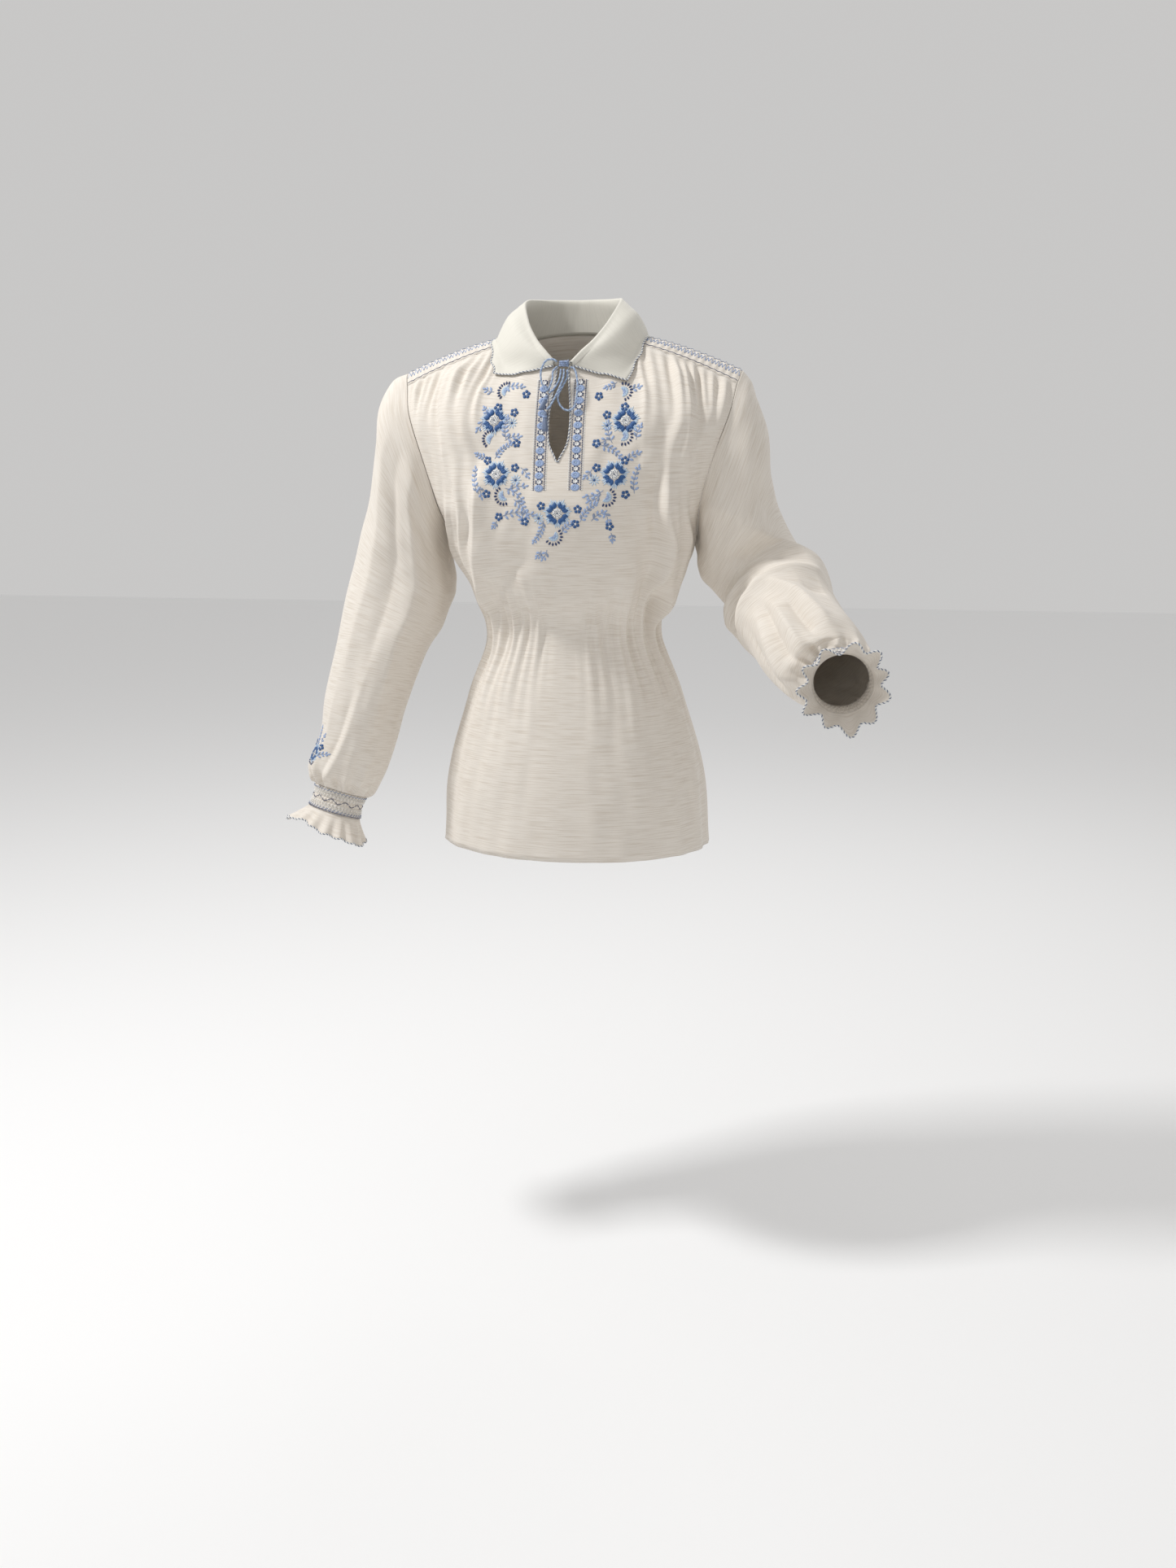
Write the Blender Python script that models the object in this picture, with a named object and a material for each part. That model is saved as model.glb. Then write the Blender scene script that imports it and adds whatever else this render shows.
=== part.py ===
"""Peasant blouse in thin white cotton, worn open at the neck and filled out by a general figure.

Metres, +Z up. The wearer faces -Y and the wearer's left is +X. The origin lies between the two
points where the shoulder seams meet the neck. Each panel is a smooth surface through a short
table of sections, with its folds raised on it, and is given its wall by moving its points inward.
"""

import math

import bmesh
import bpy
import numpy as np
from mathutils import Vector
from mathutils.bvhtree import BVHTree

# Cloth and seams
WALL = 0.0014
COLLAR_WALL = 0.0018
GAP = 0.0003
ARMHOLE_GAP = 0.0005

# Body: one row for each level, from the hem up to the upper chest. The front and back lie
# at front_y and back_y in the middle and at their edge_y at the side seam or armhole.
BODY_COLUMNS = (
    "z", "edge_z", "middle_x", "edge_x", "front_y", "front_edge_y", "front_wrap",
    "back_y", "back_edge_y", "back_wrap",
)
BODY_ROWS = {
    "hem": (-0.600, -0.600, 0.003, 0.168, -0.124, -0.004, 90, 0.122, -0.004, 90),
    "hip": (-0.510, -0.510, 0.003, 0.160, -0.119, -0.004, 90, 0.117, -0.004, 90),
    "high_hip": (-0.415, -0.415, 0.003, 0.133, -0.105, -0.004, 90, 0.098, -0.004, 90),
    "waist": (-0.333, -0.333, 0.003, 0.1015, -0.092, -0.004, 90, 0.076, -0.004, 90),
    "midriff": (-0.285, -0.285, 0.003, 0.1195, -0.110, -0.004, 90, 0.093, -0.004, 90),
    "underarm": (-0.233, -0.233, 0.000, 0.1465, -0.124, -0.004, 90, 0.102, -0.004, 90),
    "bust": (-0.188, -0.182, 0.000, 0.1560, -0.127, -0.053, 72, 0.104, 0.047, 72),
    "chest": (-0.1365, -0.132, 0.000, 0.1700, -0.115, -0.060, 60, 0.101, 0.056, 60),
    "upper": (-0.082, -0.083, 0.000, 0.1870, -0.095, -0.049, 54, 0.090, 0.050, 54),
}
LEVELS = list(BODY_ROWS)
WAIST = LEVELS.index("waist")
SLIT_END = LEVELS.index("chest")
TOP = len(LEVELS)

# Neck, slit and smocked shoulder pieces
NECK_SHARE = 0.36
NECK_CORNER = (0.067, 0.027, -0.004)
NECK_STRAIGHT = 0.4
FRONT_NECK = (0.0060, -0.070, -0.031)
BACK_NECK = (0.0, 0.058, 0.012)
SLIT_HALF_WIDTH = {
    -0.160: 0.0030, -0.1365: 0.0012, -0.118: 0.0100, -0.100: 0.0122,
    -0.075: 0.0112, -0.055: 0.0085, -0.030: 0.0060,
}
YOKE_NECK_X = 0.074
YOKE_TIP_X = 0.199
YOKE_HALF_DEPTH = 0.027
YOKE_NECK_Z = 0.006
YOKE_SLOPE = 0.040
YOKE_RIBS = 16
YOKE_RIB_HEIGHT = 0.0011

# Sleeves: one row for each section, from the armhole to the cuff, with its outer and inner points
SLEEVE_COLUMNS = ("outer_x", "outer_z", "inner_x", "inner_z", "y", "half_depth")
RIGHT_SLEEVE = (
    (-0.1995, -0.0360, -0.1465, -0.2330, 0.000, 0.060),
    (-0.2190, -0.0450, -0.1515, -0.2480, 0.000, 0.066),
    (-0.2340, -0.0725, -0.1540, -0.2600, 0.000, 0.068),
    (-0.2390, -0.1107, -0.1545, -0.2750, 0.000, 0.069),
    (-0.2480, -0.1680, -0.1545, -0.2918, 0.000, 0.068),
    (-0.2635, -0.2232, -0.1570, -0.3069, 0.000, 0.066),
    (-0.2780, -0.2779, -0.1670, -0.3347, -0.006, 0.064),
    (-0.2915, -0.3477, -0.1856, -0.3680, -0.018, 0.061),
    (-0.3070, -0.4181, -0.2092, -0.4342, -0.030, 0.056),
    (-0.3130, -0.4635, -0.2205, -0.4784, -0.038, 0.053),
    (-0.3270, -0.5042, -0.2360, -0.5221, -0.046, 0.050),
    (-0.3250, -0.5190, -0.2476, -0.5400, -0.052, 0.043),
    (-0.3191, -0.5292, -0.2562, -0.5469, -0.054, 0.0325),
)
LEFT_SLEEVE = (
    (0.1995, -0.0360, 0.1465, -0.2330, 0.000, 0.060),
    (0.2110, -0.0510, 0.1500, -0.2450, 0.000, 0.063),
    (0.2200, -0.0747, 0.1505, -0.2580, 0.000, 0.065),
    (0.2310, -0.1068, 0.1545, -0.2720, 0.003, 0.066),
    (0.2350, -0.1534, 0.1665, -0.2860, 0.007, 0.065),
    (0.2475, -0.1960, 0.1810, -0.2993, 0.008, 0.062),
    (0.2680, -0.2320, 0.1913, -0.3147, 0.001, 0.059),
    (0.2980, -0.2517, 0.1925, -0.3306, -0.019, 0.057),
    (0.3100, -0.2830, 0.2035, -0.3400, -0.052, 0.056),
    (0.3261, -0.3066, 0.2191, -0.3470, -0.090, 0.056),
    (0.3387, -0.3181, 0.2374, -0.3657, -0.126, 0.055),
    (0.3451, -0.3282, 0.2609, -0.3850, -0.150, 0.052),
    (0.3470, -0.3350, 0.2851, -0.3880, -0.165, 0.044),
    (0.3420, -0.3400, 0.2950, -0.3840, -0.181, 0.0325),
)
SLEEVE_SET_IN = 2.4
RIGHT_RINGS = (0, 0.6, 1.3, 2.2, 3.2, 4.2, 5.2, 6.2, 7.2, 8.3, 9.3, 10.2, 10.9, 11.5, 12)
LEFT_RINGS = (0, 0.6, 1.3, 2.2, 3.2, 4.2, 5, 5.8, 6.5, 7.2, 8, 9, 10, 11, 11.9, 12.5, 13)

# Cuffs and wrist ruffles
CUFF_LENGTH = 0.028
CUFF_ROWS = 4
CUFF_RIBS = 20
CUFF_RIB_HEIGHT = 0.0012
CUFF_BOTTOM_RADIUS = 0.0325
RUFFLE_COLUMNS = ("waves", "length", "flare", "wave_height", "lean")
RUFFLES = {
    "right": (16, 0.024, 0.0165, 0.0030, 0.0),
    "left": (11, 0.021, 0.0120, 0.0050, 0.6),
}

# Collar: one row for each station from the middle of the back (0) to the front end (1), with the
# roll line, and the free edge on the wearer's right and left
COLLAR_ROWS = {
    0.00: ((0.000, 0.056, 0.050), (0.000, 0.088, -0.014), (0.000, 0.088, -0.014)),
    0.10: ((0.020, 0.053, 0.050), (0.030, 0.084, -0.014), (0.030, 0.084, -0.014)),
    0.20: ((0.037, 0.044, 0.049), (0.058, 0.072, -0.014), (0.058, 0.072, -0.014)),
    0.30: ((0.048, 0.030, 0.048), (0.078, 0.052, -0.014), (0.077, 0.052, -0.013)),
    0.40: ((0.0535, 0.013, 0.046), (0.088, 0.024, -0.013), (0.085, 0.024, -0.010)),
    0.50: ((0.0545, -0.004, 0.040), (0.089, 0.000, -0.014), (0.085, 0.000, -0.008)),
    0.60: ((0.0505, -0.021, 0.028), (0.089, -0.016, -0.017), (0.084, -0.016, -0.014)),
    0.70: ((0.043, -0.039, 0.012), (0.088, -0.028, -0.022), (0.082, -0.030, -0.022)),
    0.80: ((0.032, -0.055, -0.004), (0.086, -0.038, -0.028), (0.079, -0.044, -0.031)),
    0.90: ((0.020, -0.067, -0.016), (0.084, -0.047, -0.034), (0.076, -0.056, -0.040)),
    1.00: ((0.0088, -0.0728, -0.0268), (0.082, -0.055, -0.041), (0.072, -0.066, -0.049)),
}
COLLAR_CLEARANCE = 0.0012
COLLAR_GAP = 0.0005
COLLAR_FOLD = 0.0042
COLLAR_RISE = 0.055
COLLAR_DIP = {-1: 0.007, 1: 0.001}
BODY_MIDDLE = np.array([0.0, 0.0, -0.10])

# Tie: routes of its cord as (x, z) seen from the front, and how far in front of the cloth each lies
CORD_RADIUS = 0.0012
KNOT = (0.0018, -0.0290)
KNOT_HALF_SIZE = (0.0062, 0.0042, 0.0056)
TIE_ROUTES = {
    "tie_loop_right": (0.0024, 24, (
        (-0.0062, -0.0268), (-0.0105, -0.0245), (-0.0175, -0.0252), (-0.0218, -0.0306), (-0.0240, -0.0388),
        (-0.0226, -0.0490), (-0.0193, -0.0555), (-0.0150, -0.0580), (-0.0118, -0.0520), (-0.0100, -0.0450),
        (-0.0100, -0.0375), (-0.0058, -0.0325),
    )),
    "tie_loop_left": (0.0024, 30, (
        (0.0092, -0.0330), (0.0135, -0.0345), (0.0165, -0.0404), (0.0186, -0.0486), (0.0195, -0.0580),
        (0.0186, -0.0690), (0.0165, -0.0771), (0.0113, -0.0804), (0.0055, -0.0796), (0.0005, -0.0747),
        (-0.0022, -0.0680), (-0.0008, -0.0608), (0.0032, -0.0526), (0.0065, -0.0445), (0.0062, -0.0363),
    )),
    "tie_end_right": (0.0058, 12, (
        (-0.0005, -0.0356), (-0.0012, -0.0445), (-0.0040, -0.0520), (-0.0080, -0.0578), (-0.0125, -0.0615),
    )),
    "tie_end_left": (0.0058, 16, (
        (0.0030, -0.0356), (0.0030, -0.0445), (0.0002, -0.0535), (-0.0030, -0.0620), (-0.0068, -0.0700),
        (-0.0105, -0.0765), (-0.0140, -0.0795),
    )),
}
TASSEL_RIDGES = 12
TASSEL_SLOPE = 0.5
TASSEL_STEP = (-0.0022, -0.0003, -0.0022)
TASSELS = {"tie_end_right": ("tie_tassel_right", 0.75, -0.35), "tie_end_left": ("tie_tassel_left", 1.0, 0.10)}
TASSEL_PROFILE = (
    (0.0000, 0.0014), (0.0012, 0.0026), (0.0040, 0.0029),
    (0.0062, 0.0023), (0.0110, 0.0031), (0.0210, 0.0040),
)

COTTON = (0.83, 0.80, 0.75)
COLLAR_WHITE = (0.90, 0.89, 0.85)
TIE_BLUE = (0.36, 0.47, 0.68)


def held_slopes(stations, values):
    """Slopes for a curve that never passes beyond the values on either side of it."""
    gaps = np.diff(stations).reshape((-1,) + (1,) * (values.ndim - 1))
    steps = np.diff(values, axis=0) / gaps
    before = np.concatenate([steps[:1], steps])
    after = np.concatenate([steps, steps[-1:]])
    least = np.minimum(np.abs(before), np.abs(after))
    middle = (before + after) / 2
    slopes = np.sign(middle) * np.minimum(np.abs(middle), 2.5 * least)
    return np.where(before * after > 0, slopes, 0)


def smooth_through(stations, values, at, held=False):
    """Points of a smooth curve through the values at the stations, read at each place in `at`."""
    stations = np.asarray(stations, float)
    values = np.asarray(values, float)
    slopes = held_slopes(stations, values) if held else np.gradient(values, stations, axis=0)
    at = np.atleast_1d(np.asarray(at, float))
    i = np.clip(np.searchsorted(stations, at) - 1, 0, len(stations) - 2)
    width = stations[i + 1] - stations[i]
    s = (at - stations[i]) / width
    shape = (-1,) + (1,) * (values.ndim - 1)
    s, width = s.reshape(shape), width.reshape(shape)
    return (
        (2 * s**3 - 3 * s**2 + 1) * values[i]
        + (s**3 - 2 * s**2 + s) * width * slopes[i]
        + (3 * s**2 - 2 * s**3) * values[i + 1]
        + (s**3 - s**2) * width * slopes[i + 1]
    )


def unit(v):
    """The vectors in v, each made one long."""
    return v / np.maximum(np.linalg.norm(v, axis=-1, keepdims=True), 1e-12)


def ease(x, low, high):
    """0 below low, 1 above high, with a smooth step between them. low may be the larger."""
    s = np.clip((np.asarray(x, float) - low) / (high - low), 0, 1)
    return s * s * (3 - 2 * s)


def slit_half_width(z):
    heights = sorted(SLIT_HALF_WIDTH)
    widths = [SLIT_HALF_WIDTH[h] for h in heights]
    return smooth_through(heights, widths, np.clip(z, heights[0], heights[-1]))


def yoke_point(side, q, v):
    """A point of the shoulder piece: q runs from neck to arm, v from the front (-1) to the back (1)."""
    q, v = np.broadcast_arrays(np.asarray(q, float), np.asarray(v, float))
    x = (YOKE_NECK_X - 0.007 * v**2) * (1 - q) + (YOKE_TIP_X - 0.005 * v**2) * q
    z = YOKE_NECK_Z - YOKE_SLOPE * np.abs(q) ** 1.4 - (0.010 + 0.006 * q) * v**2
    return np.stack([side * x, YOKE_HALF_DEPTH * v, z], -1)


def top_edge(face, side, u):
    """The neckline and then the shoulder edge of a front (-1) or back (1) panel, from the middle out."""
    u = np.asarray(u, float)
    turn = np.radians(90) * (1 - np.clip(u / NECK_SHARE, 0, 1))
    corner = np.array(NECK_CORNER)
    middle = np.array(FRONT_NECK if face < 0 else BACK_NECK)
    share = np.clip(u / NECK_SHARE, 0, 1)
    straight = NECK_STRAIGHT if face < 0 else 0
    x_share = np.cos(turn) * (1 - straight) + share * straight
    y_share = np.sin(turn) * (1 - straight) + (1 - share) * straight
    x = middle[0] + (corner[0] - middle[0]) * x_share
    y = face * corner[1] + (middle[1] - face * corner[1]) * y_share
    z = corner[2] + (middle[2] - corner[2]) * y_share
    neck = np.stack([side * x, y, z], -1)
    q = np.clip((u - NECK_SHARE) / (1 - NECK_SHARE), 0, 1)
    shoulder = yoke_point(side, q, face)
    shoulder[..., 1] += face * GAP
    return np.where((u >= NECK_SHARE)[..., None], shoulder, neck)


def panel_base(face, side, u, t):
    """The plain surface of half a panel as a grid [t, u]: u from middle to edge, t from the hem up."""
    u = np.asarray(u, float)
    rows = []
    for level in LEVELS:
        row = dict(zip(BODY_COLUMNS, BODY_ROWS[level]))
        name = "front" if face < 0 else "back"
        wrap = np.radians(row[name + "_wrap"])
        inner = float(slit_half_width(row["z"])[0]) if face < 0 else 0.0
        across = np.sin(u * wrap) / np.sin(wrap)
        round_off = (1 - np.cos(u * wrap)) / (1 - np.cos(wrap))
        edge_y = row[name + "_edge_y"] + (face * GAP / 2 if wrap > 1.57 else 0)
        x = side * (inner + (row["edge_x"] - inner) * across) + row["middle_x"]
        y = row[name + "_y"] + (edge_y - row[name + "_y"]) * round_off
        z = row["z"] + (row["edge_z"] - row["z"]) * u**2
        rows.append(np.stack([x, y, z], -1))
    rows.append(top_edge(face, side, u))
    return smooth_through(range(TOP + 1), np.array(rows), t, held=True)


def open_slit(points, side, u, t):
    """Moves the first columns of the front so that the slit has its outline at every height."""
    wanted = slit_half_width(points[:, 0, 2])
    shift = (wanted - side * points[:, 0, 0])[:, None] * (1 - ease(u, 0, NECK_SHARE))[None, :]
    shift = shift * (np.asarray(t) < TOP)[:, None]
    points[..., 0] += side * shift
    return points


def body_folds(face, side, u, t):
    """How far the folds of a panel stand out: shoulder gathers, waist gathers and long side folds."""
    q = np.clip((u - NECK_SHARE) / (1 - NECK_SHARE), 0, 1)
    crest = 6 * q + 0.12 * np.sin(9 * q + side)
    reach = 6.3 + 0.55 * np.sin(5.3 * q + 2 * side + face)
    fade = ease(t, reach, 8.7) * (1 - 0.6 * ease(t, 8.6, TOP))
    gathers = 0.0026 * (0.5 - 0.5 * np.cos(2 * np.pi * crest)) * fade * ease(q, 0.02, 0.2) * ease(q, 1, 0.93)
    near_waist = np.exp(-(((t - WAIST) / 0.75) ** 2)) + 0.35 * ease(t, 2.6, 0.4)
    pull = 0.0034 * (0.25 + 0.75 * ease(u, 0.1, 0.75)) * near_waist
    waist = pull * np.cos(2 * np.pi * (5 * u + 0.12 * np.sin(7 * u + side))) * ease(u, 1, 0.93)
    long_folds = 0
    for place, width, height, low, high in ((0.62, 0.035, 0.0050, 3.1, 7.4), (0.80, 0.040, 0.0062, 2.9, 6.6)):
        along = ease(t, low - 0.5, low + 0.8) * ease(t, high, high - 1.6)
        drift = place + 0.012 * (t - 5) * side
        long_folds = long_folds + height * np.exp(-(((u - drift) / width) ** 2)) * along
    return gathers + waist + long_folds


def panel_point(face, side, u, t):
    """Outer surface of half a panel, with its folds, as a grid [t, u], and the outward direction there."""
    u, t = np.asarray(u, float), np.asarray(t, float)
    step = 1e-3
    base = panel_base(face, side, u, t)
    if face < 0:
        base = open_slit(base, side, u, t)
    u_low, u_high = np.maximum(u - step, 0), np.minimum(u + step, 1)
    t_low, t_high = np.maximum(t - step, 0), np.minimum(t + step, TOP)
    across = panel_base(face, side, u_high, t) - panel_base(face, side, u_low, t)
    up = panel_base(face, side, u, t_high) - panel_base(face, side, u, t_low)
    out = unit(np.cross(across, up)) * (-side * face)
    if t[-1] == TOP:
        q = np.clip((u - NECK_SHARE) / (1 - NECK_SHARE), 0, 1)
        edge_out = yoke_surface(side, q, [face], ribbed=False)[1][0]
        out[-1] = np.where((u >= NECK_SHARE)[:, None], edge_out, out[-1])
    lift = body_folds(face, side, u[None, :], t[:, None])
    return base + out * lift[..., None], out


def two_sided(face, u, t, with_middle):
    """Both halves of a panel side by side, with the columns running from the wearer's right to left."""
    right, right_out = panel_point(face, -1, u, t)
    left, left_out = panel_point(face, 1, u, t)
    start = 0 if with_middle else 1
    points = np.concatenate([right[:, ::-1], left[:, start:]], 1)
    out = np.concatenate([right_out[:, ::-1], left_out[:, start:]], 1)
    return points, out


def grid_faces(rows, columns, closed=False, skip=()):
    """Faces of a grid as corner numbers, leaving out those named in skip as (row, column)."""
    faces = []
    for i in range(rows - 1):
        for j in range(columns if closed else columns - 1):
            if (i, j) not in skip:
                k = (j + 1) % columns
                faces.append((i * columns + j, i * columns + k, (i + 1) * columns + k, (i + 1) * columns + j))
    return faces


def make_material(name, colour, roughness):
    material = bpy.data.materials.get(name) or bpy.data.materials.new(name)
    material.use_nodes = True
    shader = material.node_tree.nodes["Principled BSDF"]
    shader.inputs["Base Color"].default_value = (*colour, 1)
    shader.inputs["Roughness"].default_value = roughness
    shader.inputs["Metallic"].default_value = 0.0
    return material


def add_object(name, bm, material):
    """Turns the faces outward, and adds the mesh to the scene as one sub-part."""
    bmesh.ops.recalc_face_normals(bm, faces=bm.faces)
    mesh = bpy.data.meshes.new(name)
    bm.to_mesh(mesh)
    bm.free()
    mesh.shade_smooth()
    mesh.set_sharp_from_angle(angle=math.radians(40))
    mesh.materials.append(material)
    obj = bpy.data.objects.new(name, mesh)
    bpy.context.scene.collection.objects.link(obj)
    obj.parent = HANG
    return obj


def add_wall(name, outer, inner, material, closed=False, skip=()):
    """A closed cloth wall between two grids of points, with a rim round every free edge."""
    rows, columns = outer.shape[:2]
    faces = grid_faces(rows, columns, closed, skip)
    bm = bmesh.new()
    outside = [bm.verts.new(p) for p in outer.reshape(-1, 3)]
    inside = [bm.verts.new(p) for p in inner.reshape(-1, 3)]
    edges = {}
    for a, b, c, d in faces:
        for corners in ((a, b, c), (a, c, d)):
            bm.faces.new([outside[k] for k in corners])
            bm.faces.new([inside[k] for k in reversed(corners)])
        for edge in ((a, b), (b, c), (c, d), (d, a)):
            edges[edge] = True
    for a, b in edges:
        if (b, a) not in edges:
            bm.faces.new([outside[b], outside[a], inside[a], inside[b]])
    loose = [v for v in bm.verts if not v.link_faces]
    bmesh.ops.delete(bm, geom=loose, context="VERTS")
    return add_object(name, bm, material)


# Sample places shared by neighbouring pieces, so that their edges run side by side
LOWER_LEVELS = [0, 1, 2, 2.7, 3.2, 3.7, 4.4]
UPPER_LEVELS = [5, 5.6, 6.3, 7, 7.5, 8, 8.5, 9]
NECK_PLACES = np.linspace(0, NECK_SHARE, 8)
SHOULDER_PLACES = np.linspace(NECK_SHARE, 1, 18)
YOKE_PLACES = np.linspace(-1, 1, 5)


def make_front():
    u, t = panel_places()
    points, out = two_sided(-1, u, t, True)
    slit = {(i, len(u) - 1) for i in range(len(t)) if t[i] >= SLIT_END}
    add_wall("front", points, points - out * WALL, cotton, skip=slit)


def make_back():
    u, t = panel_places()
    points, out = two_sided(1, u, t, False)
    add_wall("back", points, points - out * WALL, cotton)


def yoke_surface(side, q, v, ribbed=True):
    """Outer points of a shoulder piece as a grid [v, q], and the outward direction."""
    q, v = np.asarray(q, float)[None, :], np.asarray(v, float)[:, None]
    step = 1e-3
    base = yoke_point(side, q, v)
    along = yoke_point(side, q + step, v) - yoke_point(side, q - step, v)
    across = yoke_point(side, q, v + step) - yoke_point(side, q, v - step)
    out = unit(np.cross(along, across)) * side
    rib = YOKE_RIB_HEIGHT * (0.5 - 0.5 * np.cos(2 * np.pi * YOKE_RIBS * q)) * (1 - v**2 * 0.6)
    return base + out * (rib[..., None] if ribbed else 0), out


def make_yoke(name, side):
    """The smocked shoulder piece, with its ribs raised over a plain inside."""
    q = np.linspace(0, 1, 2 * YOKE_RIBS + 1)
    outer, out = yoke_surface(side, q, YOKE_PLACES)
    plain, out = yoke_surface(side, q, YOKE_PLACES, ribbed=False)
    add_wall(name, outer, plain - out * WALL, smocked)


def armhole_loop(side):
    """The edge that a sleeve is set into, from the shoulder round by the front, with outward directions."""
    levels = np.array(UPPER_LEVELS, float)
    front, front_out = panel_point(-1, side, [1.0], levels)
    back, back_out = panel_point(1, side, [1.0], levels)
    tip, tip_out = yoke_surface(side, [1.0], YOKE_PLACES, ribbed=False)
    half = len(YOKE_PLACES) // 2
    under = (front[:1] + back[:1]) / 2
    under_out = unit(front_out[:1] + back_out[:1])
    points = [tip[half::-1], front[-2:0:-1], under, back[1:-1], tip[:half:-1]]
    outs = [tip_out[half::-1], front_out[-2:0:-1], under_out, back_out[1:-1], tip_out[:half:-1]]
    return np.concatenate(points)[:, 0], np.concatenate(outs)[:, 0]


def sleeve_frames(table, v):
    """Centre, outer and front directions, and half sizes of a sleeve's sections at the places v."""
    table = np.array(table)
    stations = np.arange(len(table))
    row = smooth_through(stations, table, v)
    outer = np.stack([row[:, 0], row[:, 4], row[:, 1]], -1)
    inner = np.stack([row[:, 2], row[:, 4], row[:, 3]], -1)
    ahead = smooth_through(stations, table, np.minimum(v + 1, stations[-1]))
    behind = smooth_through(stations, table, np.maximum(v - 1, 0))
    travel = ahead - behind
    along = unit(np.stack([travel[:, 0] + travel[:, 2], 2 * travel[:, 4], travel[:, 1] + travel[:, 3]], -1))
    across = unit(outer - inner)
    front = unit(np.cross(along, across)) * np.sign(table[0, 0])
    half_width = np.linalg.norm(outer - inner, axis=-1) / 2
    return (outer + inner) / 2, across, front, half_width, row[:, 5]


# Creases: angle and section where each starts and ends, its width and its height or depth
LEFT_CREASES = (
    (125, 2.8, 25, 6.0, 0.26, 0.0045),
    (95, 6.1, 20, 7.1, 0.22, 0.0028),
    (95, 6.8, 45, 8.6, 0.22, 0.0028),
    (110, 5.6, 150, 3.8, 0.24, 0.0030),
)
RIGHT_CREASES = (
    (130, 4.2, 105, 9.6, 0.26, 0.0045),
    (165, 6.5, 135, 9.0, 0.22, -0.0035),
    (40, 1.5, 75, 4.4, 0.24, 0.0030),
    (250, 3.5, 235, 8.5, 0.26, 0.0040),
)
SECTION_SCALE = 0.45


def sleeve_folds(side, angle, v, end):
    """Gathers above the cuff, and the creases that run across the sleeve at the elbow."""
    crest = 14 * angle / (2 * np.pi) + 0.2 * np.sin(3 * angle + side)
    gathers = 0.0028 * np.cos(2 * np.pi * crest) * ease(v, end - 3.0, end - 0.5) * ease(v, end, end - 0.4)
    creases = 0
    for angle_0, v_0, angle_1, v_1, width, height in LEFT_CREASES if side > 0 else RIGHT_CREASES:
        run = np.array([math.radians(angle_1 - angle_0), (v_1 - v_0) * SECTION_SCALE])
        middle = math.radians(angle_0 + angle_1) / 2
        turned = (angle - middle + np.pi) % (2 * np.pi) - np.pi + run[0] / 2
        climbed = (v - v_0) * SECTION_SCALE
        along = np.clip((turned * run[0] + climbed * run[1]) / (run @ run), 0, 1)
        off = np.hypot(turned - along * run[0], climbed - along * run[1])
        taper = 0.35 + 0.65 * np.sin(np.pi * (0.08 + 0.84 * along))
        creases = creases + height * np.exp(-((off / width) ** 2)) * taper
    return gathers + creases


def sleeve_surface(side, table, angle, v, loop):
    """Outer points of a sleeve as a grid [v, angle], and the outward direction. loop is the armhole."""
    centre, outer, front, half_width, half_depth = sleeve_frames(table, v)
    c, s = np.cos(angle)[None, :, None], np.sin(angle)[None, :, None]
    ring = outer[:, None] * c * half_width[:, None, None] + front[:, None] * s * half_depth[:, None, None]
    points = centre[:, None] + ring
    first = sleeve_frames(table, np.zeros(1))
    start = first[0][:, None] + first[1][:, None] * c * first[3][:, None, None]
    start = (start + first[2][:, None] * s * first[4][:, None, None])[0]
    fit = (1 - ease(v, 0, SLEEVE_SET_IN))[:, None, None]
    points = points + fit * (loop - start)[None]
    around = np.roll(points, -1, 1) - np.roll(points, 1, 1)
    along = np.gradient(points, axis=0)
    out = unit(np.cross(around, along)) * side
    end = len(table) - 1
    lift = sleeve_folds(side, angle[None, :], v[:, None], end) * ease(v, 0, 1.2)[:, None]
    return points + out * lift[..., None], out


def with_middles(points):
    """A closed row of points with the middle of each side added."""
    return np.stack([points, (points + np.roll(points, -1, 0)) / 2], 1).reshape(-1, 3)


def angles_round(table, loop):
    """The angle of each point of the armhole round the sleeve's first section."""
    centre, outer, front, half_width, half_depth = sleeve_frames(table, np.zeros(1))
    across = (loop - centre[0]) @ outer[0] / half_width[0]
    forward = (loop - centre[0]) @ front[0] / half_depth[0]
    return np.arctan2(forward, across) % (2 * np.pi)


def make_sleeve(name, side, table, v):
    loop, loop_out = armhole_loop(side)
    loop = with_middles(loop + np.array([side * ARMHOLE_GAP, 0, 0]))
    angle = angles_round(table, loop)
    points, out = sleeve_surface(side, table, angle, v, loop)
    out[0] = unit(out[0] + unit(with_middles(loop_out)))
    add_wall(name, points, points - out * WALL, cotton, closed=True)


def cuff_frame(table):
    """Centre, axis, outer and front directions and radius at the end of a sleeve."""
    end = np.array([len(table) - 1.0])
    centre, outer, front, half_width, half_depth = sleeve_frames(table, end)
    before = sleeve_frames(table, end - 0.6)[0]
    axis = np.cross(outer[0], front[0])
    axis *= np.sign(axis @ (centre[0] - before[0]))
    return centre[0], axis, outer[0], front[0], half_width[0]


def ring_at(table, distance, radius, angle):
    """A ring of points round the wrist, at a distance past the end of the sleeve."""
    centre, axis, outer, front, _ = cuff_frame(table)
    distance, radius = np.broadcast_arrays(distance, radius, angle)[:2]
    middle = centre + axis * np.asarray(distance)[..., None]
    ring = outer * np.cos(angle)[..., None] + front * np.sin(angle)[..., None]
    return middle + ring * np.asarray(radius)[..., None]


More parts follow.
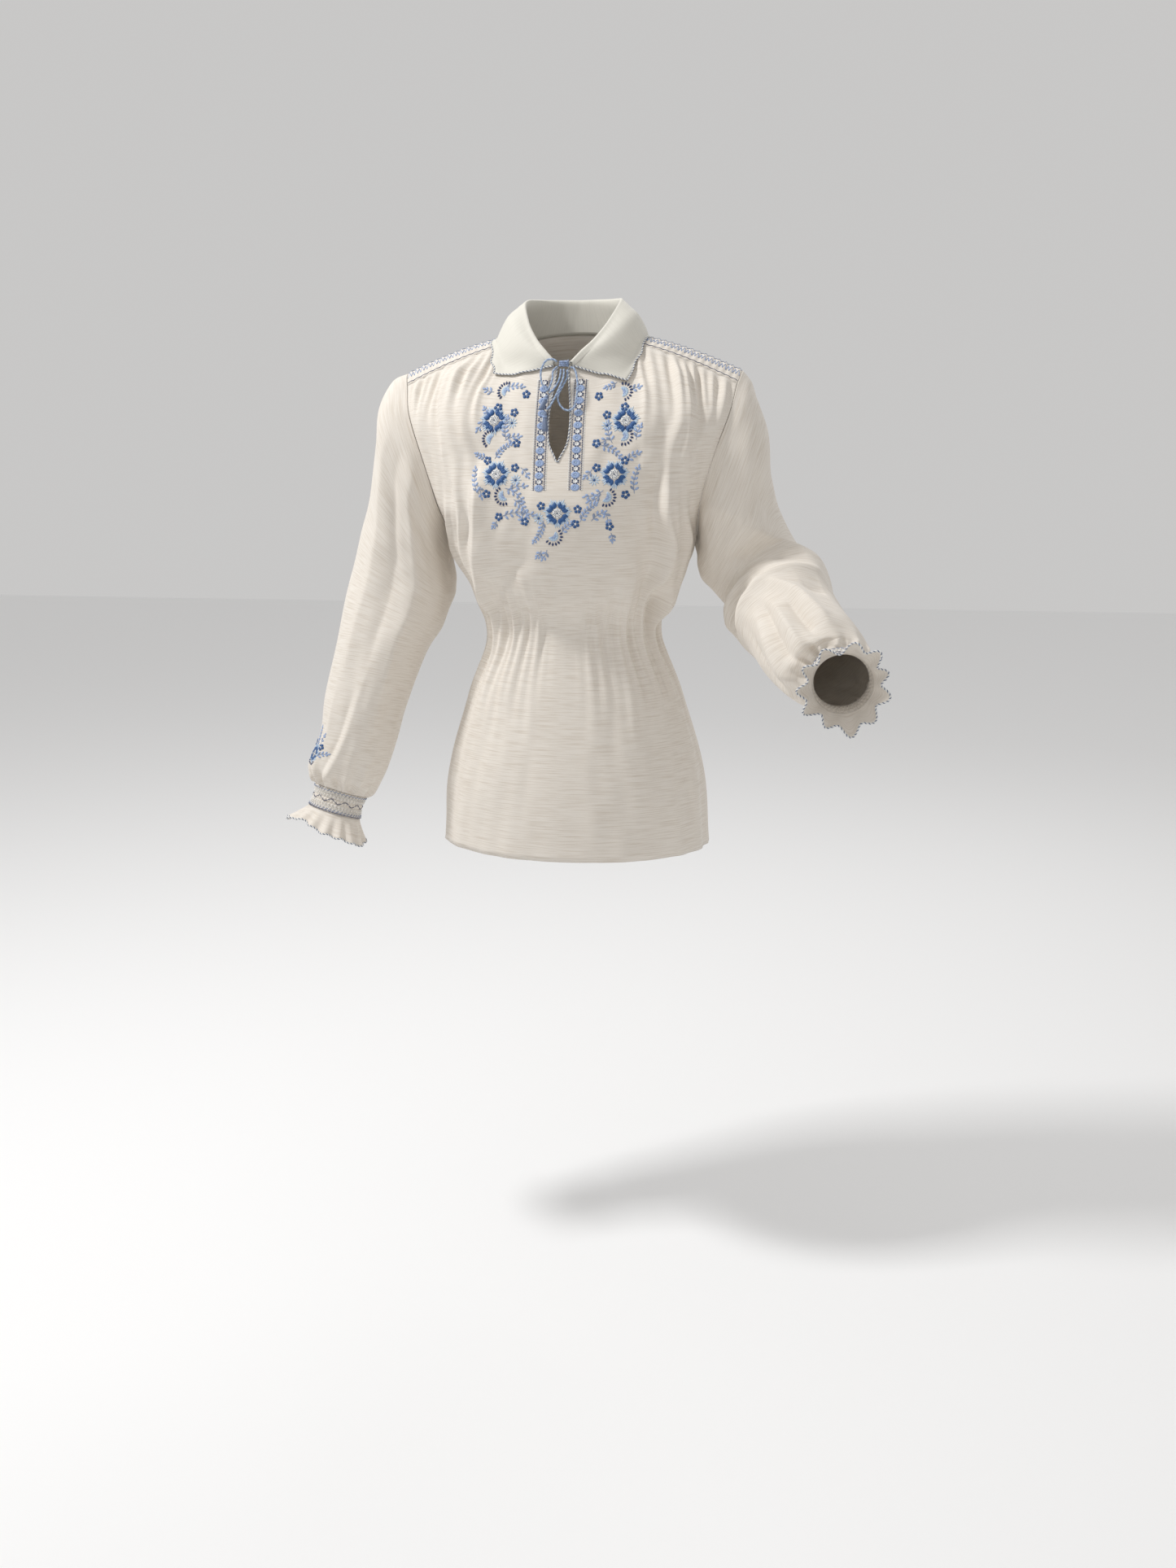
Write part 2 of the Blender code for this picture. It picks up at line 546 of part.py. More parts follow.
def make_cuff(name, table):
    """The smocked cuff: its ribs run in zigzag rows over a plain inside."""
    radius = cuff_frame(table)[4]
    angle = np.linspace(0, 2 * np.pi, 2 * CUFF_RIBS, endpoint=False)[None, :]
    share = np.linspace(0, 1, CUFF_ROWS)[:, None]
    distance = GAP + share * (CUFF_LENGTH - 2 * GAP)
    plain = radius - 0.0022 * np.sin(np.pi * share) + (CUFF_BOTTOM_RADIUS - radius) * share
    row = np.arange(CUFF_ROWS)[:, None]
    rib = CUFF_RIB_HEIGHT * (0.5 - 0.5 * np.cos(CUFF_RIBS * angle + np.pi * row))
    outer = ring_at(table, distance, plain + rib, angle)
    inner = ring_at(table, distance, plain - WALL + 0 * angle, angle)
    add_wall(name, outer, inner, smocked, closed=True)


def ruffle_shape(side_name, share, angle):
    """Distance along the wrist and radius of a ruffle, from its root (share 0) to its edge (1)."""
    waves, length, flare, height, lean = RUFFLES[side_name]
    crest = waves * angle + 0.5 * np.sin(2 * angle + 1) + 0.35 * np.sin(3 * angle)
    grow = share**1.3
    radius = CUFF_BOTTOM_RADIUS + flare * share**1.15 + height * grow * np.sin(crest)
    drop = length * share * (1 - 0.16 * np.cos(angle + lean)) + 0.35 * height * grow * np.cos(crest)
    return CUFF_LENGTH + GAP / 2 + drop, radius


def make_ruffle(name, side_name, table):
    waves = RUFFLES[side_name][0]
    angle = np.linspace(0, 2 * np.pi, 4 * waves, endpoint=False)[None, :]
    share = np.array([0, 0.5, 1.0])[:, None]
    distance, radius = ruffle_shape(side_name, share, angle)
    points = ring_at(table, distance, radius, angle + 0 * share)
    around = np.roll(points, -1, 1) - np.roll(points, 1, 1)
    along = np.gradient(points, axis=0)
    out = unit(np.cross(around, along))
    centre = cuff_frame(table)[0]
    out *= np.sign(np.sum(out * (points - centre), -1).mean())
    axis = cuff_frame(table)[1]
    out[0] = unit(out[0] - axis * np.sum(out[0] * axis, -1, keepdims=True))
    add_wall(name, points, points - out * WALL, cotton, closed=True)


def panel_places():
    """The places of the columns and levels of a panel."""
    u = np.concatenate([NECK_PLACES, SHOULDER_PLACES[1:]])
    return u, np.array(LOWER_LEVELS + UPPER_LEVELS, float)


def surface_tree(grids):
    """The outer surfaces given as grids, for what lies on them."""
    verts, faces = [], []
    for grid in grids:
        start = len(verts)
        verts.extend(Vector(p) for p in grid.reshape(-1, 3))
        faces.extend(tuple(k + start for k in face) for face in grid_faces(*grid.shape[:2]))
    return BVHTree.FromPolygons(verts, faces)


def body_grids():
    """The outer surfaces of the panels and shoulder pieces, with the slit filled."""
    u, t = panel_places()
    grids = [two_sided(-1, u, t, True)[0], two_sided(1, u, t, False)[0]]
    for side in (-1, 1):
        grids.append(yoke_surface(side, np.linspace(0, 1, 2 * YOKE_RIBS + 1), YOKE_PLACES)[0])
    return grids


def height_above(tree, point):
    """How far a point lies outside the surface, and the outward direction there."""
    spot, normal, _, _ = tree.find_nearest(Vector(point))
    spot, normal = np.array(spot), np.array(normal)
    if normal @ (spot - BODY_MIDDLE) < 0:
        normal = -normal
    return (point - spot) @ normal, normal


def lay_on(tree, grid, clearance, first_column, fine=3):
    """Moves the columns of a grid from the first one on, until its faces are clear of the surface."""
    grid = grid.copy()
    rows, columns = grid.shape[:2]
    for _ in range(4):
        push = np.zeros((rows, columns))
        for i in range(rows - 1):
            for j in range(first_column, columns - 1):
                for a in np.linspace(0, 1, fine + 1):
                    for b in np.linspace(0, 1, fine + 1):
                        top = grid[i, j] * (1 - b) + grid[i, j + 1] * b
                        low = grid[i + 1, j] * (1 - b) + grid[i + 1, j + 1] * b
                        need = clearance - height_above(tree, top * (1 - a) + low * a)[0]
                        if need > 0:
                            k, m = i + round(a), j + round(b)
                            push[k, m] = max(push[k, m], need)
        for i in range(rows):
            for j in range(first_column, columns):
                if push[i, j] > 0:
                    grid[i, j] += height_above(tree, grid[i, j])[1] * push[i, j]
    return grid


def collar_seam(side, station):
    """The neckline at a collar station, and the direction from the cloth's edge towards the neck."""
    step = 1e-3
    if station <= 0.35:
        u = NECK_SHARE * station / 0.35
        p = top_edge(1, side, np.array([u]))[0]
        below = panel_base(1, side, [u], [TOP - 0.05])[0, 0]
    elif station < 0.55:
        v = 1 - 2 * (station - 0.35) / 0.20
        p = yoke_point(side, 0.0, v)
        below = yoke_point(side, step, v)
    else:
        u = NECK_SHARE * (1 - (station - 0.55) / 0.45)
        p = top_edge(-1, side, np.array([u]))[0]
        below = panel_base(-1, side, [u], [TOP - 0.05])[0, 0]
    return p, unit(p - below)


def into_neck(side, station):
    """The direction from the cloth's outer face to its inner face along the neckline."""
    before, inward = collar_seam(side, max(station - 0.01, 0))
    after = collar_seam(side, min(station + 0.01, 1))[0]
    across = unit(np.cross(after - before, inward))
    return across * -np.sign(across @ (before - BODY_MIDDLE))


def collar_line(column, side, station):
    """A point of the roll line (column 0) or of the free edge on the right (1) or left (2)."""
    stations = sorted(COLLAR_ROWS)
    points = np.array([COLLAR_ROWS[s][column] for s in stations])
    return smooth_through(stations, points, station)[0] * np.array([side, 1, 1])


def collar_profile(side, station, places):
    """Underside of the collar at one station: up the stand, over the roll and down to the free edge."""
    seam, inward = collar_seam(side, station)
    foot = seam + inward * COLLAR_GAP
    roll = collar_line(0, side, station)
    edge = collar_line(1 if side < 0 else 2, side, station)
    roll_run = collar_line(0, side, min(station + 0.01, 1)) - collar_line(0, side, max(station - 0.01, 0))
    rise = roll - foot
    height = np.linalg.norm(rise)
    up = rise / height
    away = unit(np.cross(roll_run, up))
    away = away * np.sign(away @ (edge - roll))
    drop = min(0.004, 0.4 * height)
    out = unit(np.array([foot[0], foot[1], COLLAR_RISE]))
    lift = 0.0060 + 0.0070 * np.sin(np.pi * np.clip(station * 1.1, 0, 1))
    fold = COLLAR_FOLD * (1 - 0.1 * ease(station, 0.8, 1))
    start = roll - up * drop + away * fold
    dip = np.array([0, 0, -COLLAR_DIP[side] * ease(station, 0.6, 1.0)])
    front = ease(station, 0.75, 1.0)
    over = (foot + out * lift) * (1 - front) + (start + (edge - start) * 0.2) * front
    knots = [
        foot,
        foot + rise * 0.5,
        roll - up * drop * 0.8,
        roll + away * fold * 0.5 + up * 0.0006,
        start,
        (start + over) / 2 + away * lift * 0.35 * (1 - front),
        over + (edge - foot) * 0.25 + dip * 0.7,
        foot + (edge - foot) * 0.68 + out * lift * 0.6 + dip,
        edge,
    ]
    return smooth_through(range(len(knots)), knots, places, held=True)


COLLAR_STATIONS = np.concatenate(
    [
        0.35 * np.linspace(0, 1, 8),
        0.35 + 0.20 * np.linspace(0.25, 1, 4),
        0.55 + 0.45 * np.linspace(1 / 7, 1, 7),
    ]
)
COLLAR_PLACES = np.arange(9.0)


def make_collar(tree):
    """The folded collar: both sides in one, doubled cloth. Returns its outer points."""
    half = {}
    for side in (-1, 1):
        half[side] = np.array([collar_profile(side, s, COLLAR_PLACES) for s in COLLAR_STATIONS])
    under = np.concatenate([half[-1][::-1], half[1][1:]], 0)
    under = lay_on(tree, under, COLLAR_CLEARANCE, 5)
    out = unit(np.cross(np.gradient(under, axis=1), np.gradient(under, axis=0)))
    towards = np.sign(np.sum(out[:, 0] * -under[:, 0], -1).mean())
    out = out * towards
    sides = np.array([-1] * (len(COLLAR_STATIONS) - 1) + [1] * len(COLLAR_STATIONS))
    stations = np.concatenate([COLLAR_STATIONS[::-1], COLLAR_STATIONS[1:]])
    for k in range(len(stations)):
        out[k, 0] = into_neck(sides[k], stations[k])
    outer = under + out * COLLAR_WALL
    add_wall("collar", outer, under, collar_white)
    return outer


def first_cloth_y(tree, x, z, reach=0.003):
    """The foremost y of the cloth near a place seen from the front."""
    found = []
    for dx, dz in ((0, 0), (reach, 0), (-reach, 0), (0, reach), (0, -reach)):
        spot = tree.ray_cast(Vector((x + dx, -0.5, z + dz)), Vector((0, 1, 0)))[0]
        if spot is not None:
            found.append(spot.y)
    return min(found)


def in_front(tree, route, distance, count):
    """A smooth path along a route seen from the front, at a distance in front of the cloth."""
    at = np.linspace(0, len(route) - 1, count)
    flat = smooth_through(range(len(route)), route, at)
    y = np.array([first_cloth_y(tree, x, z) for x, z in flat])
    foremost = np.lib.stride_tricks.sliding_window_view(np.pad(y, 2, "edge"), 5).min(1)
    y = np.convolve(np.pad(foremost, 2, "edge"), np.full(5, 0.2), "valid")
    return np.stack([flat[:, 0], y - distance, flat[:, 1]], -1)


def make_cord(name, points):
    curve = bpy.data.curves.new(name, "CURVE")
    curve.dimensions = "3D"
    curve.bevel_depth = CORD_RADIUS
    curve.bevel_resolution = 2
    curve.use_fill_caps = True
    spline = curve.splines.new("POLY")
    spline.points.add(len(points) - 1)
    for point, place in zip(spline.points, points):
        point.co = (*place, 1)
    curve.materials.append(tie_blue)
    obj = bpy.data.objects.new(name, curve)
    bpy.context.scene.collection.objects.link(obj)
    obj.parent = HANG


def make_knot(y):
    bm = bmesh.new()
    bmesh.ops.create_uvsphere(bm, u_segments=12, v_segments=8, radius=1)
    for vert in bm.verts:
        vert.co = Vector(a * b for a, b in zip(vert.co, KNOT_HALF_SIZE)) + Vector((KNOT[0], y, KNOT[1]))
    add_object("tie_knot", bm, tie_blue)


def make_tassel(name, top, size, lean):
    """A bound head with a skirt of strands that are fused into one ridged body."""
    columns = 2 * TASSEL_RIDGES
    angle = np.linspace(0, 2 * np.pi, columns, endpoint=False)
    ridge = np.where(np.arange(columns) % 2, 0.82, 1.0)
    bm = bmesh.new()
    rings = []
    for drop, radius in TASSEL_PROFILE:
        grown = radius * (ridge if drop > 0.007 else 1 + 0 * ridge)
        drop = drop * size
        x = top[0] + lean * drop + grown * np.cos(angle)
        y = top[1] - TASSEL_SLOPE * drop + grown * np.sin(angle)
        rings.append([bm.verts.new((x[k], y[k], top[2] - drop)) for k in range(columns)])
    for low, high in zip(rings, rings[1:]):
        for k in range(columns):
            m = (k + 1) % columns
            bm.faces.new((low[k], low[m], high[m], high[k]))
    bm.faces.new(rings[0])
    bm.faces.new(rings[-1][::-1])
    add_object(name, bm, tie_blue)


def make_tie(tree):
    """The bow at the neck: knot, two loops, and two ends with a tassel each."""
    knot_y = first_cloth_y(tree, *KNOT, reach=0.0055) - KNOT_HALF_SIZE[1] - GAP
    make_knot(knot_y)
    for name, (distance, count, route) in TIE_ROUTES.items():
        points = in_front(tree, route, distance, count)
        blend = ease(np.linalg.norm(points[:, [0, 2]] - np.array(KNOT), axis=1), 0.014, 0.006)
        points[:, 1] += (np.minimum(knot_y, points[:, 1]) - points[:, 1]) * blend
        make_cord(name, points)
        if name in TASSELS:
            tassel, size, lean = TASSELS[name]
            make_tassel(tassel, points[-1] + np.array(TASSEL_STEP), size, lean)


HANG = bpy.data.objects.new("hang", None)
for old in list(bpy.data.objects):
    if old != HANG:
        bpy.data.objects.remove(old)
bpy.context.scene.collection.objects.link(HANG)

cotton = make_material("cotton", COTTON, 0.85)
smocked = make_material("smocked_cotton", COTTON, 0.85)
collar_white = make_material("collar_cotton", COLLAR_WHITE, 0.75)
tie_blue = make_material("tie_thread", TIE_BLUE, 0.6)

make_front()
make_back()
make_yoke("shoulder_smocking_right", -1)
make_yoke("shoulder_smocking_left", 1)
for side_name, side, table, rings in (
    ("right", -1, RIGHT_SLEEVE, RIGHT_RINGS),
    ("left", 1, LEFT_SLEEVE, LEFT_RINGS),
):
    make_sleeve("sleeve_" + side_name, side, table, np.array(rings, float))
    make_cuff("cuff_" + side_name, table)
    make_ruffle("ruffle_" + side_name, side_name, table)
body = body_grids()
collar = make_collar(surface_tree(body))
make_tie(surface_tree(body + [collar]))
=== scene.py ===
"""Looks of the peasant blouse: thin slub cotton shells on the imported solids, smocking, embroidery and tie."""

import math

import bpy
import numpy as np
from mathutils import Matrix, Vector
from mathutils.bvhtree import BVHTree


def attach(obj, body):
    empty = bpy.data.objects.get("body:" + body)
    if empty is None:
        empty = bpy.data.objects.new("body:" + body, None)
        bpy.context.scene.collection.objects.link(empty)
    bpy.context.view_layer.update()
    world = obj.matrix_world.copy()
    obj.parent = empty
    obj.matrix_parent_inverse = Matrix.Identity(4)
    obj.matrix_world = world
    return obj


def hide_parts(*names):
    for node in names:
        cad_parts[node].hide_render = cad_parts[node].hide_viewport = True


# Cloth and seams
COLLAR_WALL = 0.0018
GAP = 0.0003
ARMHOLE_GAP = 0.0005

# Body: one row for each level, from the hem up to the upper chest. The front and back lie at front_y
# and back_y in the middle and at their edge_y at the side seam or armhole. Half a panel turns through
# the angle wrap, in degrees.
BODY_COLUMNS = (
    "z", "edge_z", "middle_x", "edge_x", "front_y", "front_edge_y", "back_y", "back_edge_y", "wrap",
)
BODY_ROWS = {
    "hem": (-0.600, -0.600, 0.003, 0.168, -0.124, -0.004, 0.122, -0.004, 90),
    "hip": (-0.510, -0.510, 0.003, 0.160, -0.119, -0.004, 0.117, -0.004, 90),
    "high_hip": (-0.415, -0.415, 0.003, 0.133, -0.105, -0.004, 0.098, -0.004, 90),
    "waist": (-0.333, -0.333, 0.003, 0.1015, -0.092, -0.004, 0.076, -0.004, 90),
    "midriff": (-0.285, -0.285, 0.003, 0.1195, -0.110, -0.004, 0.093, -0.004, 90),
    "underarm": (-0.233, -0.233, 0.000, 0.1465, -0.124, -0.004, 0.102, -0.004, 90),
    "bust": (-0.188, -0.182, 0.000, 0.1560, -0.127, -0.053, 0.104, 0.047, 72),
    "chest": (-0.1365, -0.132, 0.000, 0.1700, -0.115, -0.060, 0.101, 0.056, 60),
    "upper": (-0.082, -0.083, 0.000, 0.1870, -0.095, -0.049, 0.090, 0.050, 54),
}
LEVELS = list(BODY_ROWS)
WAIST = LEVELS.index("waist")
SLIT_END = LEVELS.index("chest")
TOP = len(LEVELS)

# Neck, slit and smocked shoulder pieces
NECK_SHARE = 0.36
NECK_CORNER = (0.067, 0.027, -0.004)
NECK_STRAIGHT = 0.4
FRONT_NECK = (0.0060, -0.070, -0.031)
BACK_NECK = (0.0, 0.058, 0.012)
SLIT_HALF_WIDTH = {
    -0.160: 0.0030, -0.1365: 0.0012, -0.118: 0.0100, -0.100: 0.0122,
    -0.075: 0.0112, -0.055: 0.0085, -0.030: 0.0060,
}
YOKE_NECK_X = 0.074
YOKE_TIP_X = 0.199
YOKE_HALF_DEPTH = 0.027
YOKE_NECK_Z = 0.006
YOKE_SLOPE = 0.040
YOKE_RIBS = 16
YOKE_RIB_HEIGHT = 0.0011

# Sleeves: one row for each section, from the armhole to the cuff. The columns are x and z of its outer
# point, x and z of its inner point, the y of both, and its half depth.
RIGHT_SLEEVE = (
    (-0.1995, -0.0360, -0.1465, -0.2330, 0.000, 0.060),
    (-0.2190, -0.0450, -0.1515, -0.2480, 0.000, 0.066),
    (-0.2340, -0.0725, -0.1540, -0.2600, 0.000, 0.068),
    (-0.2390, -0.1107, -0.1545, -0.2750, 0.000, 0.069),
    (-0.2480, -0.1680, -0.1545, -0.2918, 0.000, 0.068),
    (-0.2635, -0.2232, -0.1570, -0.3069, 0.000, 0.066),
    (-0.2780, -0.2779, -0.1670, -0.3347, -0.006, 0.064),
    (-0.2915, -0.3477, -0.1856, -0.3680, -0.018, 0.061),
    (-0.3070, -0.4181, -0.2092, -0.4342, -0.030, 0.056),
    (-0.3130, -0.4635, -0.2205, -0.4784, -0.038, 0.053),
    (-0.3270, -0.5042, -0.2360, -0.5221, -0.046, 0.050),
    (-0.3250, -0.5190, -0.2476, -0.5400, -0.052, 0.043),
    (-0.3191, -0.5292, -0.2562, -0.5469, -0.054, 0.0325),
)
LEFT_SLEEVE = (
    (0.1995, -0.0360, 0.1465, -0.2330, 0.000, 0.060),
    (0.2110, -0.0510, 0.1500, -0.2450, 0.000, 0.063),
    (0.2200, -0.0747, 0.1505, -0.2580, 0.000, 0.065),
    (0.2310, -0.1068, 0.1545, -0.2720, 0.003, 0.066),
    (0.2350, -0.1534, 0.1665, -0.2860, 0.007, 0.065),
    (0.2475, -0.1960, 0.1810, -0.2993, 0.008, 0.062),
    (0.2680, -0.2320, 0.1913, -0.3147, 0.001, 0.059),
    (0.2980, -0.2517, 0.1925, -0.3306, -0.019, 0.057),
    (0.3100, -0.2830, 0.2035, -0.3400, -0.052, 0.056),
    (0.3261, -0.3066, 0.2191, -0.3470, -0.090, 0.056),
    (0.3387, -0.3181, 0.2374, -0.3657, -0.126, 0.055),
    (0.3451, -0.3282, 0.2609, -0.3850, -0.150, 0.052),
    (0.3470, -0.3350, 0.2851, -0.3880, -0.165, 0.044),
    (0.3420, -0.3400, 0.2950, -0.3840, -0.181, 0.0325),
)
SLEEVE_SET_IN = 2.4
SLEEVES = {"right": RIGHT_SLEEVE, "left": LEFT_SLEEVE}
SIDES = {"right": -1, "left": 1}

# Creases: angle and section where each starts and ends, its width and its height or depth
LEFT_CREASES = (
    (125, 2.8, 25, 6.0, 0.26, 0.0045),
    (95, 6.1, 20, 7.1, 0.22, 0.0028),
    (95, 6.8, 45, 8.6, 0.22, 0.0028),
    (110, 5.6, 150, 3.8, 0.24, 0.0030),
)
RIGHT_CREASES = (
    (130, 4.2, 105, 9.6, 0.26, 0.0045),
    (165, 6.5, 135, 9.0, 0.22, -0.0035),
    (40, 1.5, 75, 4.4, 0.24, 0.0030),
    (250, 3.5, 235, 8.5, 0.26, 0.0040),
)
# Small creases of the shells, in the same columns, and how round their crests are
CREST = 0.03
LEFT_SMALL_CREASES = (
    (118, 0.6, 90, 3.4, 0.20, 0.0070),
    (90, 3.4, 30, 6.5, 0.20, 0.0090),
    (75, 2.6, 35, 5.0, 0.25, -0.0040),
    (112, 3.8, 84, 5.6, 0.16, -0.0040),
    (90, 8.0, 22, 7.8, 0.18, 0.0120),
    (90, 8.0, 162, 8.6, 0.12, 0.0110),
    (96, 7.2, 165, 7.7, 0.12, 0.0090),
    (112, 7.7, 160, 8.1, 0.07, -0.0090),
    (70, 7.2, 35, 7.1, 0.12, -0.0060),
    (90, 8.3, 58, 10.4, 0.15, 0.0110),
    (90, 9.3, 78, 10.7, 0.13, -0.0110),
    (62, 8.7, 35, 8.7, 0.13, -0.0080),
    (106, 9.2, 92, 11.4, 0.12, 0.0090),
    (117, 9.0, 120, 11.2, 0.12, -0.0090),
    (130, 9.2, 147, 11.9, 0.14, 0.0080),
    (152, 9.0, 172, 11.0, 0.14, -0.0060),
    (200, 4.5, 230, 8.0, 0.25, 0.0060),
    (300, 4.0, 270, 8.5, 0.25, 0.0060),
    (255, 3.5, 245, 7.5, 0.20, -0.0050),
    (250, 8.5, 215, 11.0, 0.20, 0.0050),
)
RIGHT_SMALL_CREASES = (
    (94, 0.8, 112, 4.0, 0.24, 0.0055),
    (112, 4.0, 124, 8.6, 0.24, 0.0060),
    (78, 1.4, 98, 7.2, 0.20, -0.0050),
    (60, 1.6, 66, 7.4, 0.22, 0.0048),
    (148, 2.6, 150, 8.0, 0.24, 0.0060),
    (100, 7.4, 78, 10.8, 0.18, 0.0050),
    (60, 8.0, 52, 10.9, 0.18, 0.0042),
    (88, 8.0, 66, 10.8, 0.10, -0.0040),
    (140, 8.6, 128, 10.9, 0.18, 0.0046),
    (200, 2.5, 215, 7.5, 0.25, 0.0055),
    (245, 3.0, 250, 8.5, 0.22, -0.0045),
    (290, 3.5, 275, 9.0, 0.25, 0.0055),
    (330, 6.0, 345, 10.0, 0.22, 0.0045),
)
SECTION_SCALE = 0.45

# Cuffs and wrist ruffles. A ruffle's columns are its number of waves, its length, how far it flares, the
# height of its waves, and how far its longest part is turned round the wrist, in radians.
CUFF_LENGTH = 0.028
CUFF_BOTTOM_RADIUS = 0.0325
RUFFLES = {
    "right": (16, 0.024, 0.0165, 0.0030, 0.0),
    "left": (11, 0.021, 0.0120, 0.0050, 0.6),
}

# Collar: one row for each station from the middle of the back (0) to the front end (1), with the
# roll line, and the free edge on the wearer's right and left
COLLAR_ROWS = {
    0.00: ((0.000, 0.056, 0.050), (0.000, 0.088, -0.014), (0.000, 0.088, -0.014)),
    0.10: ((0.020, 0.053, 0.050), (0.030, 0.084, -0.014), (0.030, 0.084, -0.014)),
    0.20: ((0.037, 0.044, 0.049), (0.058, 0.072, -0.014), (0.058, 0.072, -0.014)),
    0.30: ((0.048, 0.030, 0.048), (0.078, 0.052, -0.014), (0.077, 0.052, -0.013)),
    0.40: ((0.0535, 0.013, 0.046), (0.088, 0.024, -0.013), (0.085, 0.024, -0.010)),
    0.50: ((0.0545, -0.004, 0.040), (0.089, 0.000, -0.014), (0.085, 0.000, -0.008)),
    0.60: ((0.0505, -0.021, 0.028), (0.089, -0.016, -0.017), (0.084, -0.016, -0.014)),
    0.70: ((0.043, -0.039, 0.012), (0.088, -0.028, -0.022), (0.082, -0.030, -0.022)),
    0.80: ((0.032, -0.055, -0.004), (0.086, -0.038, -0.028), (0.079, -0.044, -0.031)),
    0.90: ((0.020, -0.067, -0.016), (0.084, -0.047, -0.034), (0.076, -0.056, -0.040)),
    1.00: ((0.0088, -0.0728, -0.0268), (0.082, -0.055, -0.041), (0.072, -0.066, -0.049)),
}
COLLAR_CLEARANCE = 0.0012
COLLAR_GAP = 0.0005
COLLAR_FOLD = 0.0042
COLLAR_RISE = 0.055
COLLAR_DIP = {-1: 0.007, 1: 0.001}
BODY_MIDDLE = np.array([0.0, 0.0, -0.10])

# Tie: each route has its distance in front of the cloth, its number of points, and its places as (x, z)
# seen from the front. Each tassel hangs from the end of a route, with its node, its size and its lean.
CORD_RADIUS = 0.0012
KNOT = (0.0018, -0.0290)
KNOT_HALF_SIZE = (0.0062, 0.0042, 0.0056)
TIE_ROUTES = {
    "tie_loop_right": (0.0024, 24, (
        (-0.0062, -0.0268), (-0.0105, -0.0245), (-0.0175, -0.0252), (-0.0218, -0.0306), (-0.0240, -0.0388),
        (-0.0226, -0.0490), (-0.0193, -0.0555), (-0.0150, -0.0580), (-0.0118, -0.0520), (-0.0100, -0.0450),
        (-0.0100, -0.0375), (-0.0058, -0.0325),
    )),
    "tie_loop_left": (0.0024, 30, (
        (0.0092, -0.0330), (0.0135, -0.0345), (0.0165, -0.0404), (0.0186, -0.0486), (0.0195, -0.0580),
        (0.0186, -0.0690), (0.0165, -0.0771), (0.0113, -0.0804), (0.0055, -0.0796), (0.0005, -0.0747),
        (-0.0022, -0.0680), (-0.0008, -0.0608), (0.0032, -0.0526), (0.0065, -0.0445), (0.0062, -0.0363),
    )),
    "tie_end_right": (0.0058, 12, (
        (-0.0005, -0.0356), (-0.0012, -0.0445), (-0.0040, -0.0520), (-0.0080, -0.0578), (-0.0125, -0.0615),
    )),
    "tie_end_left": (0.0058, 16, (
        (0.0030, -0.0356), (0.0030, -0.0445), (0.0002, -0.0535), (-0.0030, -0.0620), (-0.0068, -0.0700),
        (-0.0105, -0.0765), (-0.0140, -0.0795),
    )),
}
TASSEL_SLOPE = 0.5
TASSEL_STEP = (-0.0022, -0.0003, -0.0022)
TASSELS = {"tie_end_right": ("tie_tassel_right", 0.75, -0.35), "tie_end_left": ("tie_tassel_left", 1.0, 0.10)}
TASSEL_STRANDS = 46
TASSEL_LENGTH = 0.0210
TASSEL_DROPS = (0, 0.0012, 0.0040, 0.0062, 0.0110, 0.0230)
TASSEL_SPREAD = (0.0006, 0.0020, 0.0023, 0.0018, 0.0026, 0.0036)

# Fine sampling of the shells, and the heights of their gathers and wrinkles
SHELL = 0.0006
LEVELS_FINE = np.linspace(0, 9, 118)
UPPER_LEVELS = np.linspace(5, 9, 33)
NECK_PLACES = np.linspace(0, NECK_SHARE, 22)
SHOULDER_PLACES = np.linspace(NECK_SHARE, 1, 104)
YOKE_PLACES = np.linspace(-1, 1, 17)
FINE_GATHERS = 10
FINE_GATHER = 0.0016
PANEL_WRINKLE = 0.0016
WAIST_GATHER = 0.0018
SLEEVE_SECTIONS = 170
SLEEVE_WRINKLE = 0.0010
SLEEVE_GATHER = 0.0012
COLLAR_FREE = 22
COLLAR_SHELL = 0.0012
COLLAR_THICKNESS = COLLAR_WALL * 0.7 + 0.0004
CUFF_SCALLOPS = 44
CUFF_BANDS = 5
SCALLOP_HEIGHT = 0.0016

# Threads: sewn ones, and cords whose strands lie at a share of the cord's radius and are a share of it thick
THREAD = 0.0004
THREAD_SIDES = 4
TWIST_STEP = 0.0008
STRAND_OFFSET = 0.48
STRAND_RADIUS = 0.54
STRAND_SIDES = 5
TIE_TWISTS = 190
TIE_STRANDS = ("thread_light_blue", "thread_pale_blue", "thread_grey_blue")
KNOT_STRANDS = ("thread_light_blue", "thread_grey_blue")
EDGE_TWISTS = 230
EDGE_STRANDS = ("thread_white", "thread_white", "thread_slate")

# Threads round a cuff: colour, place from top to bottom, height and number of their waves
CUFF_THREAD_RISE = 0.0013
CUFF_THREADS = (
    ("thread_navy", 0.50, 0.080, CUFF_SCALLOPS // 4), ("thread_navy", 0.985, 0.0, 1),
    ("thread_white", 0.20, 0.040, CUFF_SCALLOPS), ("thread_white", 0.32, 0.040, CUFF_SCALLOPS),
    ("thread_white", 0.68, 0.040, CUFF_SCALLOPS), ("thread_white", 0.80, 0.040, CUFF_SCALLOPS),
    ("thread_grey_blue", 0.08, 0.040, CUFF_SCALLOPS), ("thread_grey_blue", 0.91, 0.040, CUFF_SCALLOPS),
)
# Threads along a shoulder piece: colour, place from front (-1) to back (1), height of the zigzag
SHOULDER_THREADS = (
    ("thread_navy", -0.90, 0.00), ("thread_light_blue", -0.55, 0.16), ("thread_grey_blue", -0.15, 0.16),
    ("thread_light_blue", 0.25, 0.16), ("thread_grey_blue", 0.60, 0.16), ("thread_navy", 0.90, 0.00),
)

